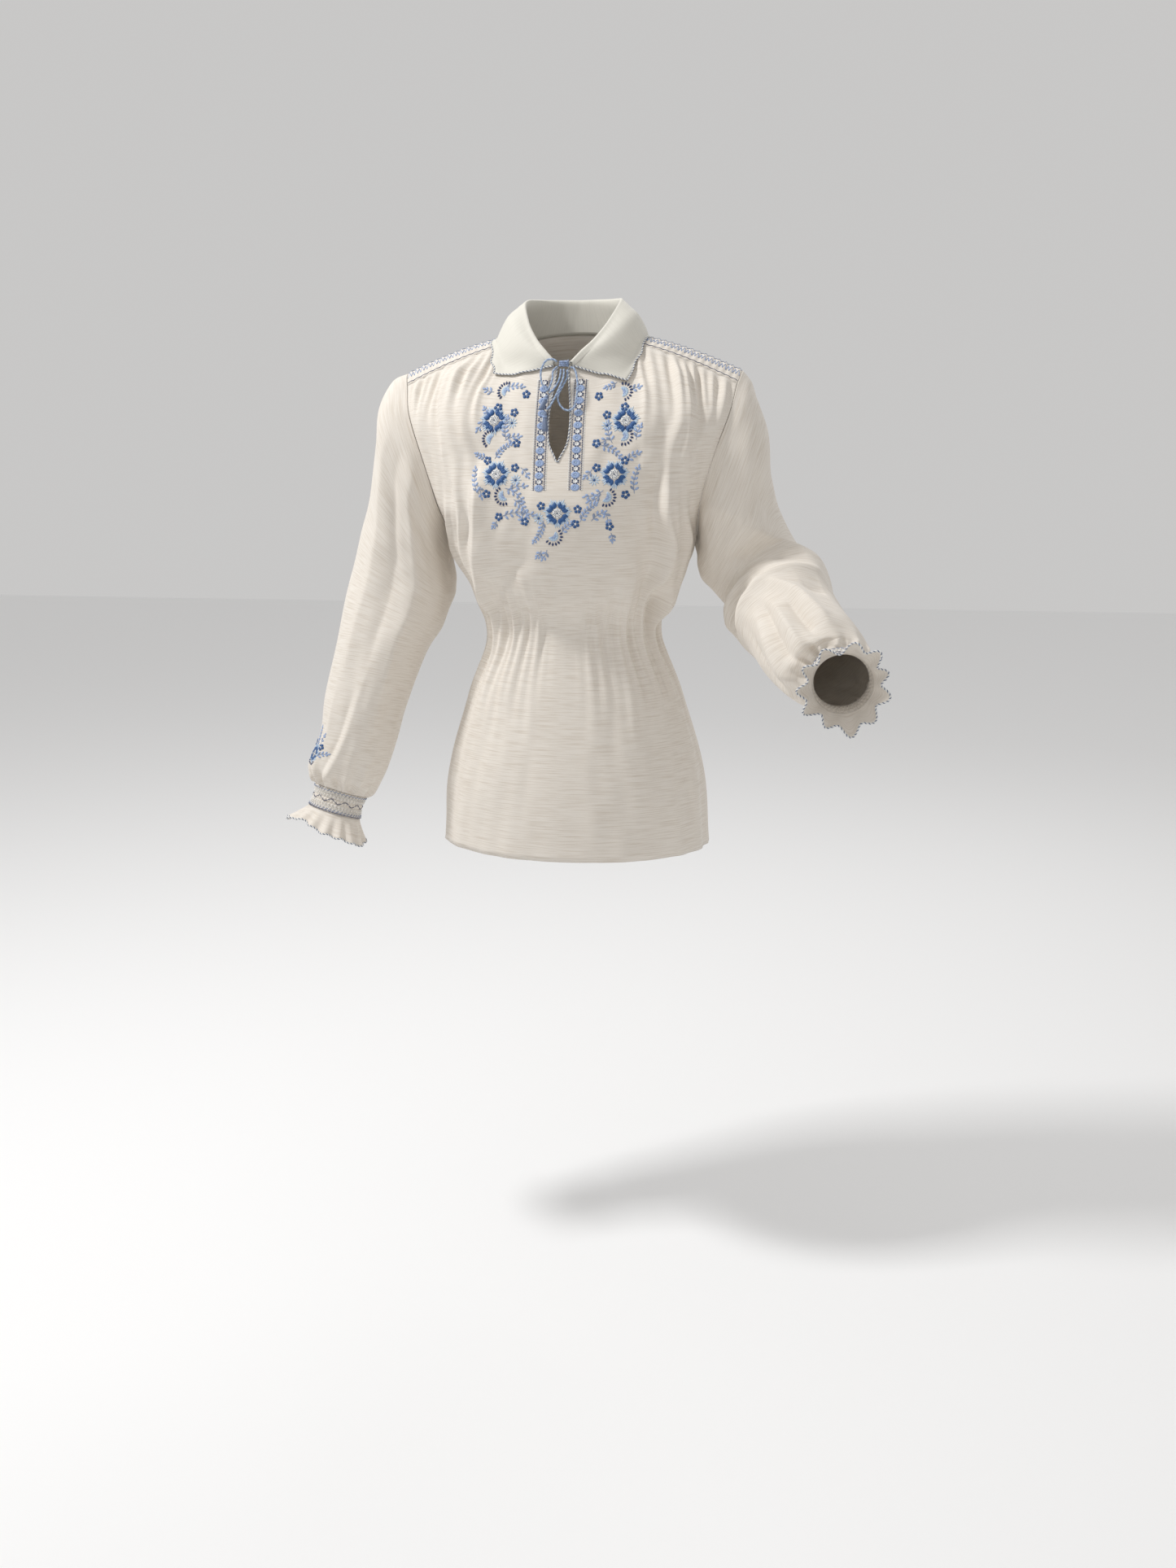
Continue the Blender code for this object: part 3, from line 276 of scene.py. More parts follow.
# Folds of the front from top to bottom: height, widths of their left and right slopes, and points (x, z)
FRONT_FOLDS = (
    (0.0090, 0.0040, 0.0140, ((-0.086, -0.158), (-0.096, -0.250), (-0.095, -0.295), (-0.094, -0.325))),
    (0.0050, 0.0030, 0.0060, ((-0.096, -0.177), (-0.104, -0.250), (-0.100, -0.285))),
    (0.0090, 0.0040, 0.0220, ((-0.140, -0.030), (-0.140, -0.075), (-0.132, -0.130), (-0.119, -0.166))),
    (0.0028, 0.0040, 0.0060, ((-0.126, -0.020), (-0.129, -0.044), (-0.123, -0.075))),
    (0.0030, 0.0040, 0.0080, ((-0.110, -0.022), (-0.111, -0.076), (-0.109, -0.103))),
    (-0.0045, 0.0080, 0.0080, ((-0.042, -0.247), (-0.073, -0.283), (-0.086, -0.315))),
    (0.0024, 0.0040, 0.0060, ((-0.095, -0.030), (-0.096, -0.076))),
    (0.0024, 0.0060, 0.0040, ((-0.176, -0.035), (-0.176, -0.056), (-0.170, -0.093))),
    (-0.0080, 0.0060, 0.0040, ((0.111, -0.158), (0.111, -0.215), (0.102, -0.315))),
    (0.0070, 0.0040, 0.0100, ((0.119, -0.170), (0.119, -0.220), (0.109, -0.310))),
    (0.0050, 0.0080, 0.0030, ((0.129, -0.166), (0.126, -0.230), (0.111, -0.303))),
    (-0.0045, 0.0100, 0.0080, ((0.082, -0.165), (0.092, -0.224), (0.101, -0.297))),
    (0.0045, 0.0100, 0.0040, ((0.088, -0.247), (0.080, -0.290), (0.068, -0.315))),
    (0.0032, 0.0040, 0.0100, ((0.082, -0.025), (0.094, -0.059), (0.096, -0.130))),
    (-0.0028, 0.0060, 0.0060, ((0.111, -0.025), (0.119, -0.059), (0.117, -0.117))),
    (0.0065, 0.0160, 0.0035, ((0.131, -0.025), (0.144, -0.077), (0.141, -0.139))),
    (0.0045, 0.0060, 0.0030, ((0.142, -0.222), (0.128, -0.275), (0.110, -0.311))),
    (-0.0026, 0.0050, 0.0050, ((0.151, -0.030), (0.152, -0.058), (0.157, -0.094))),
)

# Places of the embroidery on the front as (x, z), seen from the front
LARGE_FLOWERS = (
    (-0.0749, -0.0915), (-0.0692, -0.1506), (0.0020, -0.1929), (0.0643, -0.1503), (0.0745, -0.0920),
)
SMALL_FLOWERS = (
    (-0.0402, -0.0628), (-0.0715, -0.0770), (-0.0524, -0.0827), (-0.0473, -0.1166), (-0.0806, -0.1354),
    (-0.0481, -0.1433), (-0.0795, -0.1721), (-0.0659, -0.1972), (-0.0355, -0.2022), (-0.0165, -0.1849),
    (0.0427, -0.0651), (0.0725, -0.0768), (0.0534, -0.0858), (0.0433, -0.1168), (0.0754, -0.1353),
    (0.0444, -0.1432), (0.0765, -0.1724), (0.0249, -0.1883), (0.0222, -0.2044), (0.0598, -0.2071),
)
# Fans: x, z, first and last angle in degrees
FANS = (
    (-0.0643, -0.0588, 80, 230), (-0.0773, -0.1121, 80, 230), (-0.0600, -0.1740, 120, 290),
    (-0.0029, -0.2180, -140, 40), (0.0560, -0.1750, -110, 60), (0.0730, -0.1085, -100, 80),
    (0.0690, -0.0600, -70, 100),
)
TINY_STARS = (
    (-0.0466, -0.1567), (-0.0193, -0.1984), (0.0422, -0.1565), (-0.0544, -0.0943), (0.0541, -0.0973),
)
# Petals of each fan: colour, degrees beyond its angles, number, near and far ends, and width
FAN_PETALS = (
    ("thread_navy", 0, 9, 0.0072, 0.0114, 0.0023), ("thread_pale_blue", 15, 12, 0.0020, 0.0064, 0.0018),
    ("thread_light_blue", 0, 6, 0.0, 0.0042, 0.0013),
)
# Sprays: x and z of the root, x and z of the tip, pairs of leaves
SPRAYS = (
    (-0.0792, -0.0595, -0.0884, -0.0566, 3), (-0.0677, -0.0560, -0.0460, -0.0545, 5),
    (-0.0791, -0.0869, -0.0870, -0.0778, 4), (-0.0599, -0.1122, -0.0596, -0.0889, 6),
    (-0.0608, -0.1131, -0.0448, -0.1095, 4), (-0.0718, -0.1327, -0.0539, -0.1175, 7),
    (-0.0827, -0.1318, -0.0938, -0.1282, 4), (-0.0888, -0.1714, -0.0944, -0.1453, 6),
    (-0.0414, -0.1433, -0.0334, -0.1522, 3), (-0.0558, -0.1683, -0.0357, -0.1637, 4),
    (-0.0578, -0.1657, -0.0383, -0.1789, 5), (-0.0479, -0.1781, -0.0326, -0.1958, 6),
    (-0.0619, -0.1963, -0.0250, -0.1948, 7), (-0.0137, -0.2010, -0.0256, -0.2238, 7),
    (0.0065, -0.2144, 0.0195, -0.2035, 5), (0.0277, -0.2017, 0.0447, -0.1830, 7),
    (0.0403, -0.2008, 0.0536, -0.1919, 4), (0.0536, -0.1901, 0.0581, -0.2026, 3),
    (-0.0174, -0.2346, -0.0225, -0.2412, 3), (-0.0107, -0.2336, -0.0159, -0.2429, 3),
    (0.0488, -0.1185, 0.0699, -0.1318, 6), (0.0771, -0.1353, 0.0902, -0.1274, 4),
    (0.0861, -0.1707, 0.0906, -0.1433, 6), (0.0390, -0.1450, 0.0321, -0.1529, 3),
    (0.0524, -0.1679, 0.0339, -0.1741, 4), (0.0499, -0.1723, 0.0375, -0.1794, 4),
    (0.0604, -0.1159, 0.0557, -0.0947, 5), (0.0566, -0.1106, 0.0433, -0.1168, 3),
    (0.0871, -0.1124, 0.0918, -0.0982, 4), (0.0610, -0.0497, 0.0499, -0.0552, 4),
    (0.0771, -0.0587, 0.0867, -0.0550, 3), (-0.0877, -0.0896, -0.0937, -0.1013, 3),
    (-0.0900, -0.1624, -0.0857, -0.1749, 3), (-0.0326, -0.2057, -0.0403, -0.1977, 3),
    (-0.0690, -0.2018, -0.0734, -0.2083, 2), (0.0614, -0.2144, 0.0622, -0.2226, 2),
)
# The sleeve's sprays lie in a flat frame of their own round the motif's middle
SLEEVE_MOTIF_ANGLE = math.radians(38)
SLEEVE_MOTIF_SECTION = 9.6
SLEEVE_SPRAYS = (
    (0.000, 0.008, -0.002, 0.034, 7), (0.012, -0.006, 0.026, 0.000, 4), (-0.012, -0.006, -0.026, 0.002, 4),
    (0.010, 0.012, 0.014, 0.024, 3),
)
# Bands: x and z of the top, x and z of the bottom
BANDS = {"band_right": (-0.0202, -0.0467, -0.0195, -0.1690), "band_left": (0.0212, -0.0462, 0.0214, -0.1679)}
BAND_WIDTH = 0.0116
BAND_SQUARES = 9
BAND_DOT_STEP = 0.0019

# How high each colour of stitches lies, on the motifs and on the bands
STITCH_HEIGHTS = {
    "thread_dark_blue": 0.00034, "thread_light_blue": 0.00022, "thread_pale_blue": 0.00012,
    "thread_grey_blue": 0.00016, "thread_navy": 0.00040, "thread_white": 0.00050, "thread_slate": 0.00100,
}
BAND_HEIGHTS = {
    "thread_light_blue": 0.00022, "thread_pale_blue": 0.00050,
    "thread_navy": 0.00045, "thread_white": 0.00018,
}

# Colours of cloth and thread, as sRGB shares turned to linear where they are used
CLOTH_LIGHT = (0.895, 0.868, 0.830)
CLOTH_DARK = (0.830, 0.792, 0.742)
CLOTHS = {
    "slub_cotton": (CLOTH_LIGHT, CLOTH_DARK, 0.85),
    "smocked_slub_cotton": (CLOTH_LIGHT, CLOTH_DARK, 0.85),
    "white_cotton": ((0.860, 0.848, 0.808), (0.835, 0.822, 0.782), 0.75),
}
CLOTH_SHEEN = 0.15
SLUB_SCALE = (30, 780, 1)
SLUB_RANGE = (0.30, 0.56)
SLUB_BUMP = 0.35
SLUB_HEIGHT = 0.0004
THREAD_ROUGHNESS = 0.6
THREAD_SHEEN = 0.2
THREADS = {
    "thread_dark_blue": (0.140, 0.325, 0.545),
    "thread_light_blue": (0.590, 0.670, 0.810),
    "thread_pale_blue": (0.700, 0.785, 0.870),
    "thread_grey_blue": (0.530, 0.590, 0.700),
    "thread_slate": (0.330, 0.385, 0.490),
    "thread_navy": (0.115, 0.200, 0.380),
    "thread_white": (0.890, 0.890, 0.880),
}

# Light and floor: each lamp has its place, its size and its power
WORLD_COLOUR = (1.0, 0.99, 0.98)
WORLD_STRENGTH = 0.58
LAMPS = {
    "key": ((-1.5, -0.55, 1.75), 0.35, 46),
    "fill": ((1.6, -1.4, 0.5), 1.6, 1.5),
    "back": ((0.6, 1.8, 1.2), 1.4, 8),
}
LAMP_AIM = (0, 0, -0.25)
FLOOR_Z = -1.15
FLOOR_HALF_SIZE = 8
FLOOR_COLOUR = (0.93, 0.93, 0.93, 1)

# Camera: its place, its turn about Z, its downward pitch and its lens
CAMERA_TURN = math.radians(8.5)
CAMERA_PITCH = math.atan(403.5 / 1700)
CAMERA_DISTANCE = 1.7
CAMERA_SIDE = 0.0175
CAMERA_HEIGHT = -0.130
CAMERA_LENS = 31.76


def held_slopes(stations, values):
    """Slopes for a curve that never passes beyond the values on either side of it."""
    gaps = np.diff(stations).reshape((-1,) + (1,) * (values.ndim - 1))
    steps = np.diff(values, axis=0) / gaps
    before = np.concatenate([steps[:1], steps])
    after = np.concatenate([steps, steps[-1:]])
    least = np.minimum(np.abs(before), np.abs(after))
    middle = (before + after) / 2
    slopes = np.sign(middle) * np.minimum(np.abs(middle), 2.5 * least)
    return np.where(before * after > 0, slopes, 0)


def smooth_through(stations, values, at, held=False):
    """Points of a smooth curve through the values at the stations, read at each place in `at`."""
    stations = np.asarray(stations, float)
    values = np.asarray(values, float)
    slopes = held_slopes(stations, values) if held else np.gradient(values, stations, axis=0)
    at = np.atleast_1d(np.asarray(at, float))
    i = np.clip(np.searchsorted(stations, at) - 1, 0, len(stations) - 2)
    width = stations[i + 1] - stations[i]
    s = (at - stations[i]) / width
    shape = (-1,) + (1,) * (values.ndim - 1)
    s, width = s.reshape(shape), width.reshape(shape)
    return (
        (2 * s**3 - 3 * s**2 + 1) * values[i]
        + (s**3 - 2 * s**2 + s) * width * slopes[i]
        + (3 * s**2 - 2 * s**3) * values[i + 1]
        + (s**3 - s**2) * width * slopes[i + 1]
    )


def unit(v):
    """The vectors in v, each made one long."""
    return v / np.maximum(np.linalg.norm(v, axis=-1, keepdims=True), 1e-12)


def ease(x, low, high):
    """0 below low, 1 above high, with a smooth step between them. low may be the larger."""
    s = np.clip((np.asarray(x, float) - low) / (high - low), 0, 1)
    return s * s * (3 - 2 * s)


def slit_half_width(z):
    heights = sorted(SLIT_HALF_WIDTH)
    widths = [SLIT_HALF_WIDTH[h] for h in heights]
    return smooth_through(heights, widths, np.clip(z, heights[0], heights[-1]))


def yoke_point(side, q, v):
    """A point of the shoulder piece: q runs from neck to arm, v from the front (-1) to the back (1)."""
    q, v = np.broadcast_arrays(np.asarray(q, float), np.asarray(v, float))
    x = (YOKE_NECK_X - 0.007 * v**2) * (1 - q) + (YOKE_TIP_X - 0.005 * v**2) * q
    z = YOKE_NECK_Z - YOKE_SLOPE * np.abs(q) ** 1.4 - (0.010 + 0.006 * q) * v**2
    return np.stack([side * x, YOKE_HALF_DEPTH * v, z], -1)


def top_edge(face, side, u):
    """The neckline and then the shoulder edge of a front (-1) or back (1) panel, from the middle out."""
    u = np.asarray(u, float)
    turn = np.radians(90) * (1 - np.clip(u / NECK_SHARE, 0, 1))
    corner = np.array(NECK_CORNER)
    middle = np.array(FRONT_NECK if face < 0 else BACK_NECK)
    share = np.clip(u / NECK_SHARE, 0, 1)
    straight = NECK_STRAIGHT if face < 0 else 0
    x_share = np.cos(turn) * (1 - straight) + share * straight
    y_share = np.sin(turn) * (1 - straight) + (1 - share) * straight
    x = middle[0] + (corner[0] - middle[0]) * x_share
    y = face * corner[1] + (middle[1] - face * corner[1]) * y_share
    z = corner[2] + (middle[2] - corner[2]) * y_share
    neck = np.stack([side * x, y, z], -1)
    q = np.clip((u - NECK_SHARE) / (1 - NECK_SHARE), 0, 1)
    shoulder = yoke_point(side, q, face)
    shoulder[..., 1] += face * GAP
    return np.where((u >= NECK_SHARE)[..., None], shoulder, neck)


def panel_base(face, side, u, t):
    """The plain surface of half a panel as a grid [t, u]: u from middle to edge, t from the hem up."""
    u = np.asarray(u, float)
    name = "front" if face < 0 else "back"
    rows = []
    for level in LEVELS:
        row = dict(zip(BODY_COLUMNS, BODY_ROWS[level]))
        wrap = np.radians(row["wrap"])
        inner = float(slit_half_width(row["z"])[0]) if face < 0 else 0.0
        across = np.sin(u * wrap) / np.sin(wrap)
        round_off = (1 - np.cos(u * wrap)) / (1 - np.cos(wrap))
        edge_y = row[name + "_edge_y"] + (face * GAP / 2 if wrap > 1.57 else 0)
        x = side * (inner + (row["edge_x"] - inner) * across) + row["middle_x"]
        y = row[name + "_y"] + (edge_y - row[name + "_y"]) * round_off
        z = row["z"] + (row["edge_z"] - row["z"]) * u**2
        rows.append(np.stack([x, y, z], -1))
    rows.append(top_edge(face, side, u))
    return smooth_through(range(TOP + 1), np.array(rows), t, held=True)


def open_slit(points, side, u, t):
    """Moves the first columns of the front so that the slit has its outline at every height."""
    wanted = slit_half_width(points[:, 0, 2])
    shift = (wanted - side * points[:, 0, 0])[:, None] * (1 - ease(u, 0, NECK_SHARE))[None, :]
    shift = shift * (np.asarray(t) < TOP)[:, None]
    points[..., 0] += side * shift
    return points


def body_folds(face, side, u, t):
    """How far the folds of a panel stand out: shoulder gathers, waist gathers and long side folds."""
    q = np.clip((u - NECK_SHARE) / (1 - NECK_SHARE), 0, 1)
    crest = 6 * q + 0.12 * np.sin(9 * q + side)
    reach = 6.3 + 0.55 * np.sin(5.3 * q + 2 * side + face)
    fade = ease(t, reach, 8.7) * (1 - 0.6 * ease(t, 8.6, TOP))
    gathers = 0.0026 * (0.5 - 0.5 * np.cos(2 * np.pi * crest)) * fade * ease(q, 0.02, 0.2) * ease(q, 1, 0.93)
    near_waist = np.exp(-(((t - WAIST) / 0.75) ** 2)) + 0.35 * ease(t, 2.6, 0.4)
    pull = 0.0034 * (0.25 + 0.75 * ease(u, 0.1, 0.75)) * near_waist
    waist = pull * np.cos(2 * np.pi * (5 * u + 0.12 * np.sin(7 * u + side))) * ease(u, 1, 0.93)
    long_folds = 0
    for place, width, height, low, high in ((0.62, 0.035, 0.0050, 3.1, 7.4), (0.80, 0.040, 0.0062, 2.9, 6.6)):
        along = ease(t, low - 0.5, low + 0.8) * ease(t, high, high - 1.6)
        drift = place + 0.012 * (t - 5) * side
        long_folds = long_folds + height * np.exp(-(((u - drift) / width) ** 2)) * along
    return gathers + waist + long_folds


def panel_point(face, side, u, t):
    """Outer surface of half a panel, with its folds, as a grid [t, u], and the outward direction there."""
    u, t = np.asarray(u, float), np.asarray(t, float)
    step = 1e-3
    base = panel_base(face, side, u, t)
    if face < 0:
        base = open_slit(base, side, u, t)
    u_low, u_high = np.maximum(u - step, 0), np.minimum(u + step, 1)
    t_low, t_high = np.maximum(t - step, 0), np.minimum(t + step, TOP)
    across = panel_base(face, side, u_high, t) - panel_base(face, side, u_low, t)
    up = panel_base(face, side, u, t_high) - panel_base(face, side, u, t_low)
    out = unit(np.cross(across, up)) * (-side * face)
    if t[-1] == TOP:
        q = np.clip((u - NECK_SHARE) / (1 - NECK_SHARE), 0, 1)
        edge_out = yoke_surface(side, q, [face], ribbed=False)[1][0]
        out[-1] = np.where((u >= NECK_SHARE)[:, None], edge_out, out[-1])
    lift = body_folds(face, side, u[None, :], t[:, None])
    return base + out * lift[..., None], out


def grid_faces(rows, columns, closed=False, skip=()):
    """Faces of a grid as corner numbers, leaving out those named in skip as (row, column)."""
    faces = []
    for i in range(rows - 1):
        for j in range(columns if closed else columns - 1):
            if (i, j) not in skip:
                k = (j + 1) % columns
                faces.append((i * columns + j, i * columns + k, (i + 1) * columns + k, (i + 1) * columns + j))
    return faces


def yoke_rib(q, v):
    """How far the ribs of a shoulder piece stand out."""
    return YOKE_RIB_HEIGHT * (0.5 - 0.5 * np.cos(2 * np.pi * YOKE_RIBS * q)) * (1 - v**2 * 0.6)


def yoke_surface(side, q, v, ribbed=True):
    """Outer points of a shoulder piece as a grid [v, q], and the outward direction."""
    q, v = np.asarray(q, float)[None, :], np.asarray(v, float)[:, None]
    step = 1e-3
    base = yoke_point(side, q, v)
    along = yoke_point(side, q + step, v) - yoke_point(side, q - step, v)
    across = yoke_point(side, q, v + step) - yoke_point(side, q, v - step)
    out = unit(np.cross(along, across)) * side
    return base + out * (yoke_rib(q, v)[..., None] if ribbed else 0), out


def armhole_loop(side):
    """The edge that a sleeve is set into, from the shoulder round by the front, with outward directions."""
    levels = np.array(UPPER_LEVELS, float)
    front, front_out = panel_point(-1, side, [1.0], levels)
    back, back_out = panel_point(1, side, [1.0], levels)
    tip, tip_out = yoke_surface(side, [1.0], YOKE_PLACES, ribbed=False)
    half = len(YOKE_PLACES) // 2
    under = (front[:1] + back[:1]) / 2
    under_out = unit(front_out[:1] + back_out[:1])
    points = [tip[half::-1], front[-2:0:-1], under, back[1:-1], tip[:half:-1]]
    outs = [tip_out[half::-1], front_out[-2:0:-1], under_out, back_out[1:-1], tip_out[:half:-1]]
    return np.concatenate(points)[:, 0], np.concatenate(outs)[:, 0]


def sleeve_frames(table, v):
    """Centre, outer and front directions, and half sizes of a sleeve's sections at the places v."""
    table = np.array(table)
    stations = np.arange(len(table))
    row = smooth_through(stations, table, v)
    outer = np.stack([row[:, 0], row[:, 4], row[:, 1]], -1)
    inner = np.stack([row[:, 2], row[:, 4], row[:, 3]], -1)
    ahead = smooth_through(stations, table, np.minimum(v + 1, stations[-1]))
    behind = smooth_through(stations, table, np.maximum(v - 1, 0))
    travel = ahead - behind
    along = unit(np.stack([travel[:, 0] + travel[:, 2], 2 * travel[:, 4], travel[:, 1] + travel[:, 3]], -1))
    across = unit(outer - inner)
    front = unit(np.cross(along, across)) * np.sign(table[0, 0])
    half_width = np.linalg.norm(outer - inner, axis=-1) / 2
    return (outer + inner) / 2, across, front, half_width, row[:, 5]


def beside_crease(row, angle, v):
    """How far along a crease each place of a sleeve lies, from 0 to 1, and how far off it."""
    angle_0, v_0, angle_1, v_1 = row[:4]
    turn = (angle_1 - angle_0 + 180) % 360 - 180
    run = np.array([math.radians(turn), (v_1 - v_0) * SECTION_SCALE])
    middle = math.radians(angle_0 + turn / 2)
    turned = (angle - middle + np.pi) % (2 * np.pi) - np.pi + run[0] / 2
    climbed = (v - v_0) * SECTION_SCALE
    along = np.clip((turned * run[0] + climbed * run[1]) / (run @ run), 0, 1)
    return along, np.hypot(turned - along * run[0], climbed - along * run[1])


def sleeve_folds(side, angle, v, end):
    """Gathers above the cuff, and the creases that run across the sleeve at the elbow."""
    crest = 14 * angle / (2 * np.pi) + 0.2 * np.sin(3 * angle + side)
    lift = 0.0028 * np.cos(2 * np.pi * crest) * ease(v, end - 3.0, end - 0.5) * ease(v, end, end - 0.4)
    for row in LEFT_CREASES if side > 0 else RIGHT_CREASES:
        along, off = beside_crease(row, angle, v)
        taper = 0.35 + 0.65 * np.sin(np.pi * (0.08 + 0.84 * along))
        lift = lift + row[5] * np.exp(-((off / row[4]) ** 2)) * taper
    return lift


def small_creases(side, angle, v):
    """How far the small creases of a sleeve stand out."""
    lift = 0
    for row in LEFT_SMALL_CREASES if side > 0 else RIGHT_SMALL_CREASES:
        along, off = beside_crease(row, angle, v)
        crest = np.exp((CREST - np.hypot(off, CREST)) / row[4])
        lift = lift + row[5] * crest * np.sin(np.pi * (0.04 + 0.92 * along)) ** 0.4
    return lift


def sleeve_surface(side, table, angle, v, loop):
    """Outer points of a sleeve as a grid [v, angle] and the outward direction. v starts at 0, on the loop."""
    centre, outer, front, half_width, half_depth = sleeve_frames(table, v)
    c, s = np.cos(angle)[None, :, None], np.sin(angle)[None, :, None]
    ring = outer[:, None] * c * half_width[:, None, None] + front[:, None] * s * half_depth[:, None, None]
    points = centre[:, None] + ring
    fit = (1 - ease(v, 0, SLEEVE_SET_IN))[:, None, None]
    points = points + fit * (loop - points[0])[None]
    around = np.roll(points, -1, 1) - np.roll(points, 1, 1)
    along = np.gradient(points, axis=0)
    out = unit(np.cross(around, along)) * side
    lift = sleeve_folds(side, angle[None, :], v[:, None], len(table) - 1) * ease(v, 0, 1.2)[:, None]
    return points + out * lift[..., None], out


def with_middles(points):
    """A closed row of points with the middle of each side added."""
    return np.stack([points, (points + np.roll(points, -1, 0)) / 2], 1).reshape(-1, 3)


def angles_round(table, loop):
    """The angle of each point of the armhole round the sleeve's first section."""
    centre, outer, front, half_width, half_depth = sleeve_frames(table, np.zeros(1))
    across = (loop - centre[0]) @ outer[0] / half_width[0]
    forward = (loop - centre[0]) @ front[0] / half_depth[0]
    return np.arctan2(forward, across) % (2 * np.pi)


def cuff_frame(table):
    """Centre, axis, outer and front directions and radius at the end of a sleeve."""
    end = np.array([len(table) - 1.0])
    centre, outer, front, half_width, _ = sleeve_frames(table, end)
    before = sleeve_frames(table, end - 0.6)[0]
    axis = np.cross(outer[0], front[0])
    axis *= np.sign(axis @ (centre[0] - before[0]))
    return centre[0], axis, outer[0], front[0], half_width[0]


def ring_at(table, distance, radius, angle):
    """A ring of points round the wrist, at a distance past the end of the sleeve."""
    centre, axis, outer, front, _ = cuff_frame(table)
    distance, radius = np.broadcast_arrays(distance, radius, angle)[:2]
    middle = centre + axis * np.asarray(distance)[..., None]
    ring = outer * np.cos(angle)[..., None] + front * np.sin(angle)[..., None]
    return middle + ring * np.asarray(radius)[..., None]


def ruffle_shape(side_name, share, angle):
    """Distance along the wrist and radius of a ruffle, from its root (share 0) to its edge (1)."""
    waves, length, flare, height, lean = RUFFLES[side_name]
    crest = waves * angle + 0.5 * np.sin(2 * angle + 1) + 0.35 * np.sin(3 * angle)
    grow = share**1.3
    radius = CUFF_BOTTOM_RADIUS + flare * share**1.15 + height * grow * np.sin(crest)
    drop = length * share * (1 - 0.16 * np.cos(angle + lean)) + 0.35 * height * grow * np.cos(crest)
    return CUFF_LENGTH + GAP / 2 + drop, radius


def joined(parts):
    """Several (points, faces) parts as one, and the number of the part that each face comes from."""
    verts, faces, owners = [], [], []
    for k, (points, part_faces) in enumerate(parts):
        start = len(verts)
        verts.extend(np.asarray(points).tolist())
        faces.extend(tuple(n + start for n in face) for face in part_faces)
        owners.extend([k] * len(part_faces))
    return verts, faces, owners


def surface_tree(grids):
    """The outer surfaces given as grids, for what lies on them."""
    parts = [(grid.reshape(-1, 3), grid_faces(*grid.shape[:2])) for grid in grids]
    return BVHTree.FromPolygons(*joined(parts)[:2])


def height_above(tree, point):
    """How far a point lies outside the surface, and the outward direction there."""
    spot, normal, _, _ = tree.find_nearest(Vector(point))
    spot, normal = np.array(spot), np.array(normal)
    if normal @ (spot - BODY_MIDDLE) < 0:
        normal = -normal
    return (point - spot) @ normal, normal


def lay_on(tree, grid, clearance, first_column):
    """Moves the points of a grid's columns from the first one on, until they are clear of the surface."""
    grid = grid.copy()
    for _ in range(4):
        for row in grid:
            for point in row[first_column:]:
                height, normal = height_above(tree, point)
                if height < clearance:
                    point += normal * (clearance - height)
    return grid


def collar_seam(side, station):
    """The neckline at a collar station, and the direction from the cloth's edge towards the neck."""
    step = 1e-3
    if station <= 0.35:
        u = NECK_SHARE * station / 0.35
        p = top_edge(1, side, np.array([u]))[0]
        below = panel_base(1, side, [u], [TOP - 0.05])[0, 0]
    elif station < 0.55:
        v = 1 - 2 * (station - 0.35) / 0.20
        p = yoke_point(side, 0.0, v)
        below = yoke_point(side, step, v)
    else:
        u = NECK_SHARE * (1 - (station - 0.55) / 0.45)
        p = top_edge(-1, side, np.array([u]))[0]
        below = panel_base(-1, side, [u], [TOP - 0.05])[0, 0]
    return p, unit(p - below)


def collar_line(column, side, station):
    """A point of the roll line (column 0) or of the free edge on the right (1) or left (2)."""
    stations = sorted(COLLAR_ROWS)
    points = np.array([COLLAR_ROWS[s][column] for s in stations])
    return smooth_through(stations, points, station)[0] * np.array([side, 1, 1])


def collar_profile(side, station, places):
    """Underside of the collar at one station: up the stand, over the roll and down to the free edge."""
    seam, inward = collar_seam(side, station)
    foot = seam + inward * COLLAR_GAP
    roll = collar_line(0, side, station)
    edge = collar_line(1 if side < 0 else 2, side, station)
    roll_run = collar_line(0, side, min(station + 0.01, 1)) - collar_line(0, side, max(station - 0.01, 0))
    rise = roll - foot
    height = np.linalg.norm(rise)
    up = rise / height
    away = unit(np.cross(roll_run, up))
    away = away * np.sign(away @ (edge - roll))
    drop = min(0.004, 0.4 * height)
    out = unit(np.array([foot[0], foot[1], COLLAR_RISE]))
    lift = 0.0060 + 0.0070 * np.sin(np.pi * np.clip(station * 1.1, 0, 1))
    fold = COLLAR_FOLD * (1 - 0.1 * ease(station, 0.8, 1))
    start = roll - up * drop + away * fold
    dip = np.array([0, 0, -COLLAR_DIP[side] * ease(station, 0.6, 1.0)])
    front = ease(station, 0.75, 1.0)
    over = (foot + out * lift) * (1 - front) + (start + (edge - start) * 0.2) * front
    knots = [
        foot,
        foot + rise * 0.5,
        roll - up * drop * 0.8,
        roll + away * fold * 0.5 + up * 0.0006,
        start,
        (start + over) / 2 + away * lift * 0.35 * (1 - front),
        over + (edge - foot) * 0.25 + dip * 0.7,
        foot + (edge - foot) * 0.68 + out * lift * 0.6 + dip,
        edge,
    ]
    return smooth_through(range(len(knots)), knots, places, held=True)


def first_cloth_y(tree, x, z, reach=0.003):
    """The foremost y of the cloth near a place seen from the front."""
    found = []
    for dx, dz in ((0, 0), (reach, 0), (-reach, 0), (0, reach), (0, -reach)):
        spot = tree.ray_cast(Vector((x + dx, -0.5, z + dz)), Vector((0, 1, 0)))[0]
        if spot is not None:
            found.append(spot.y)
    return min(found)


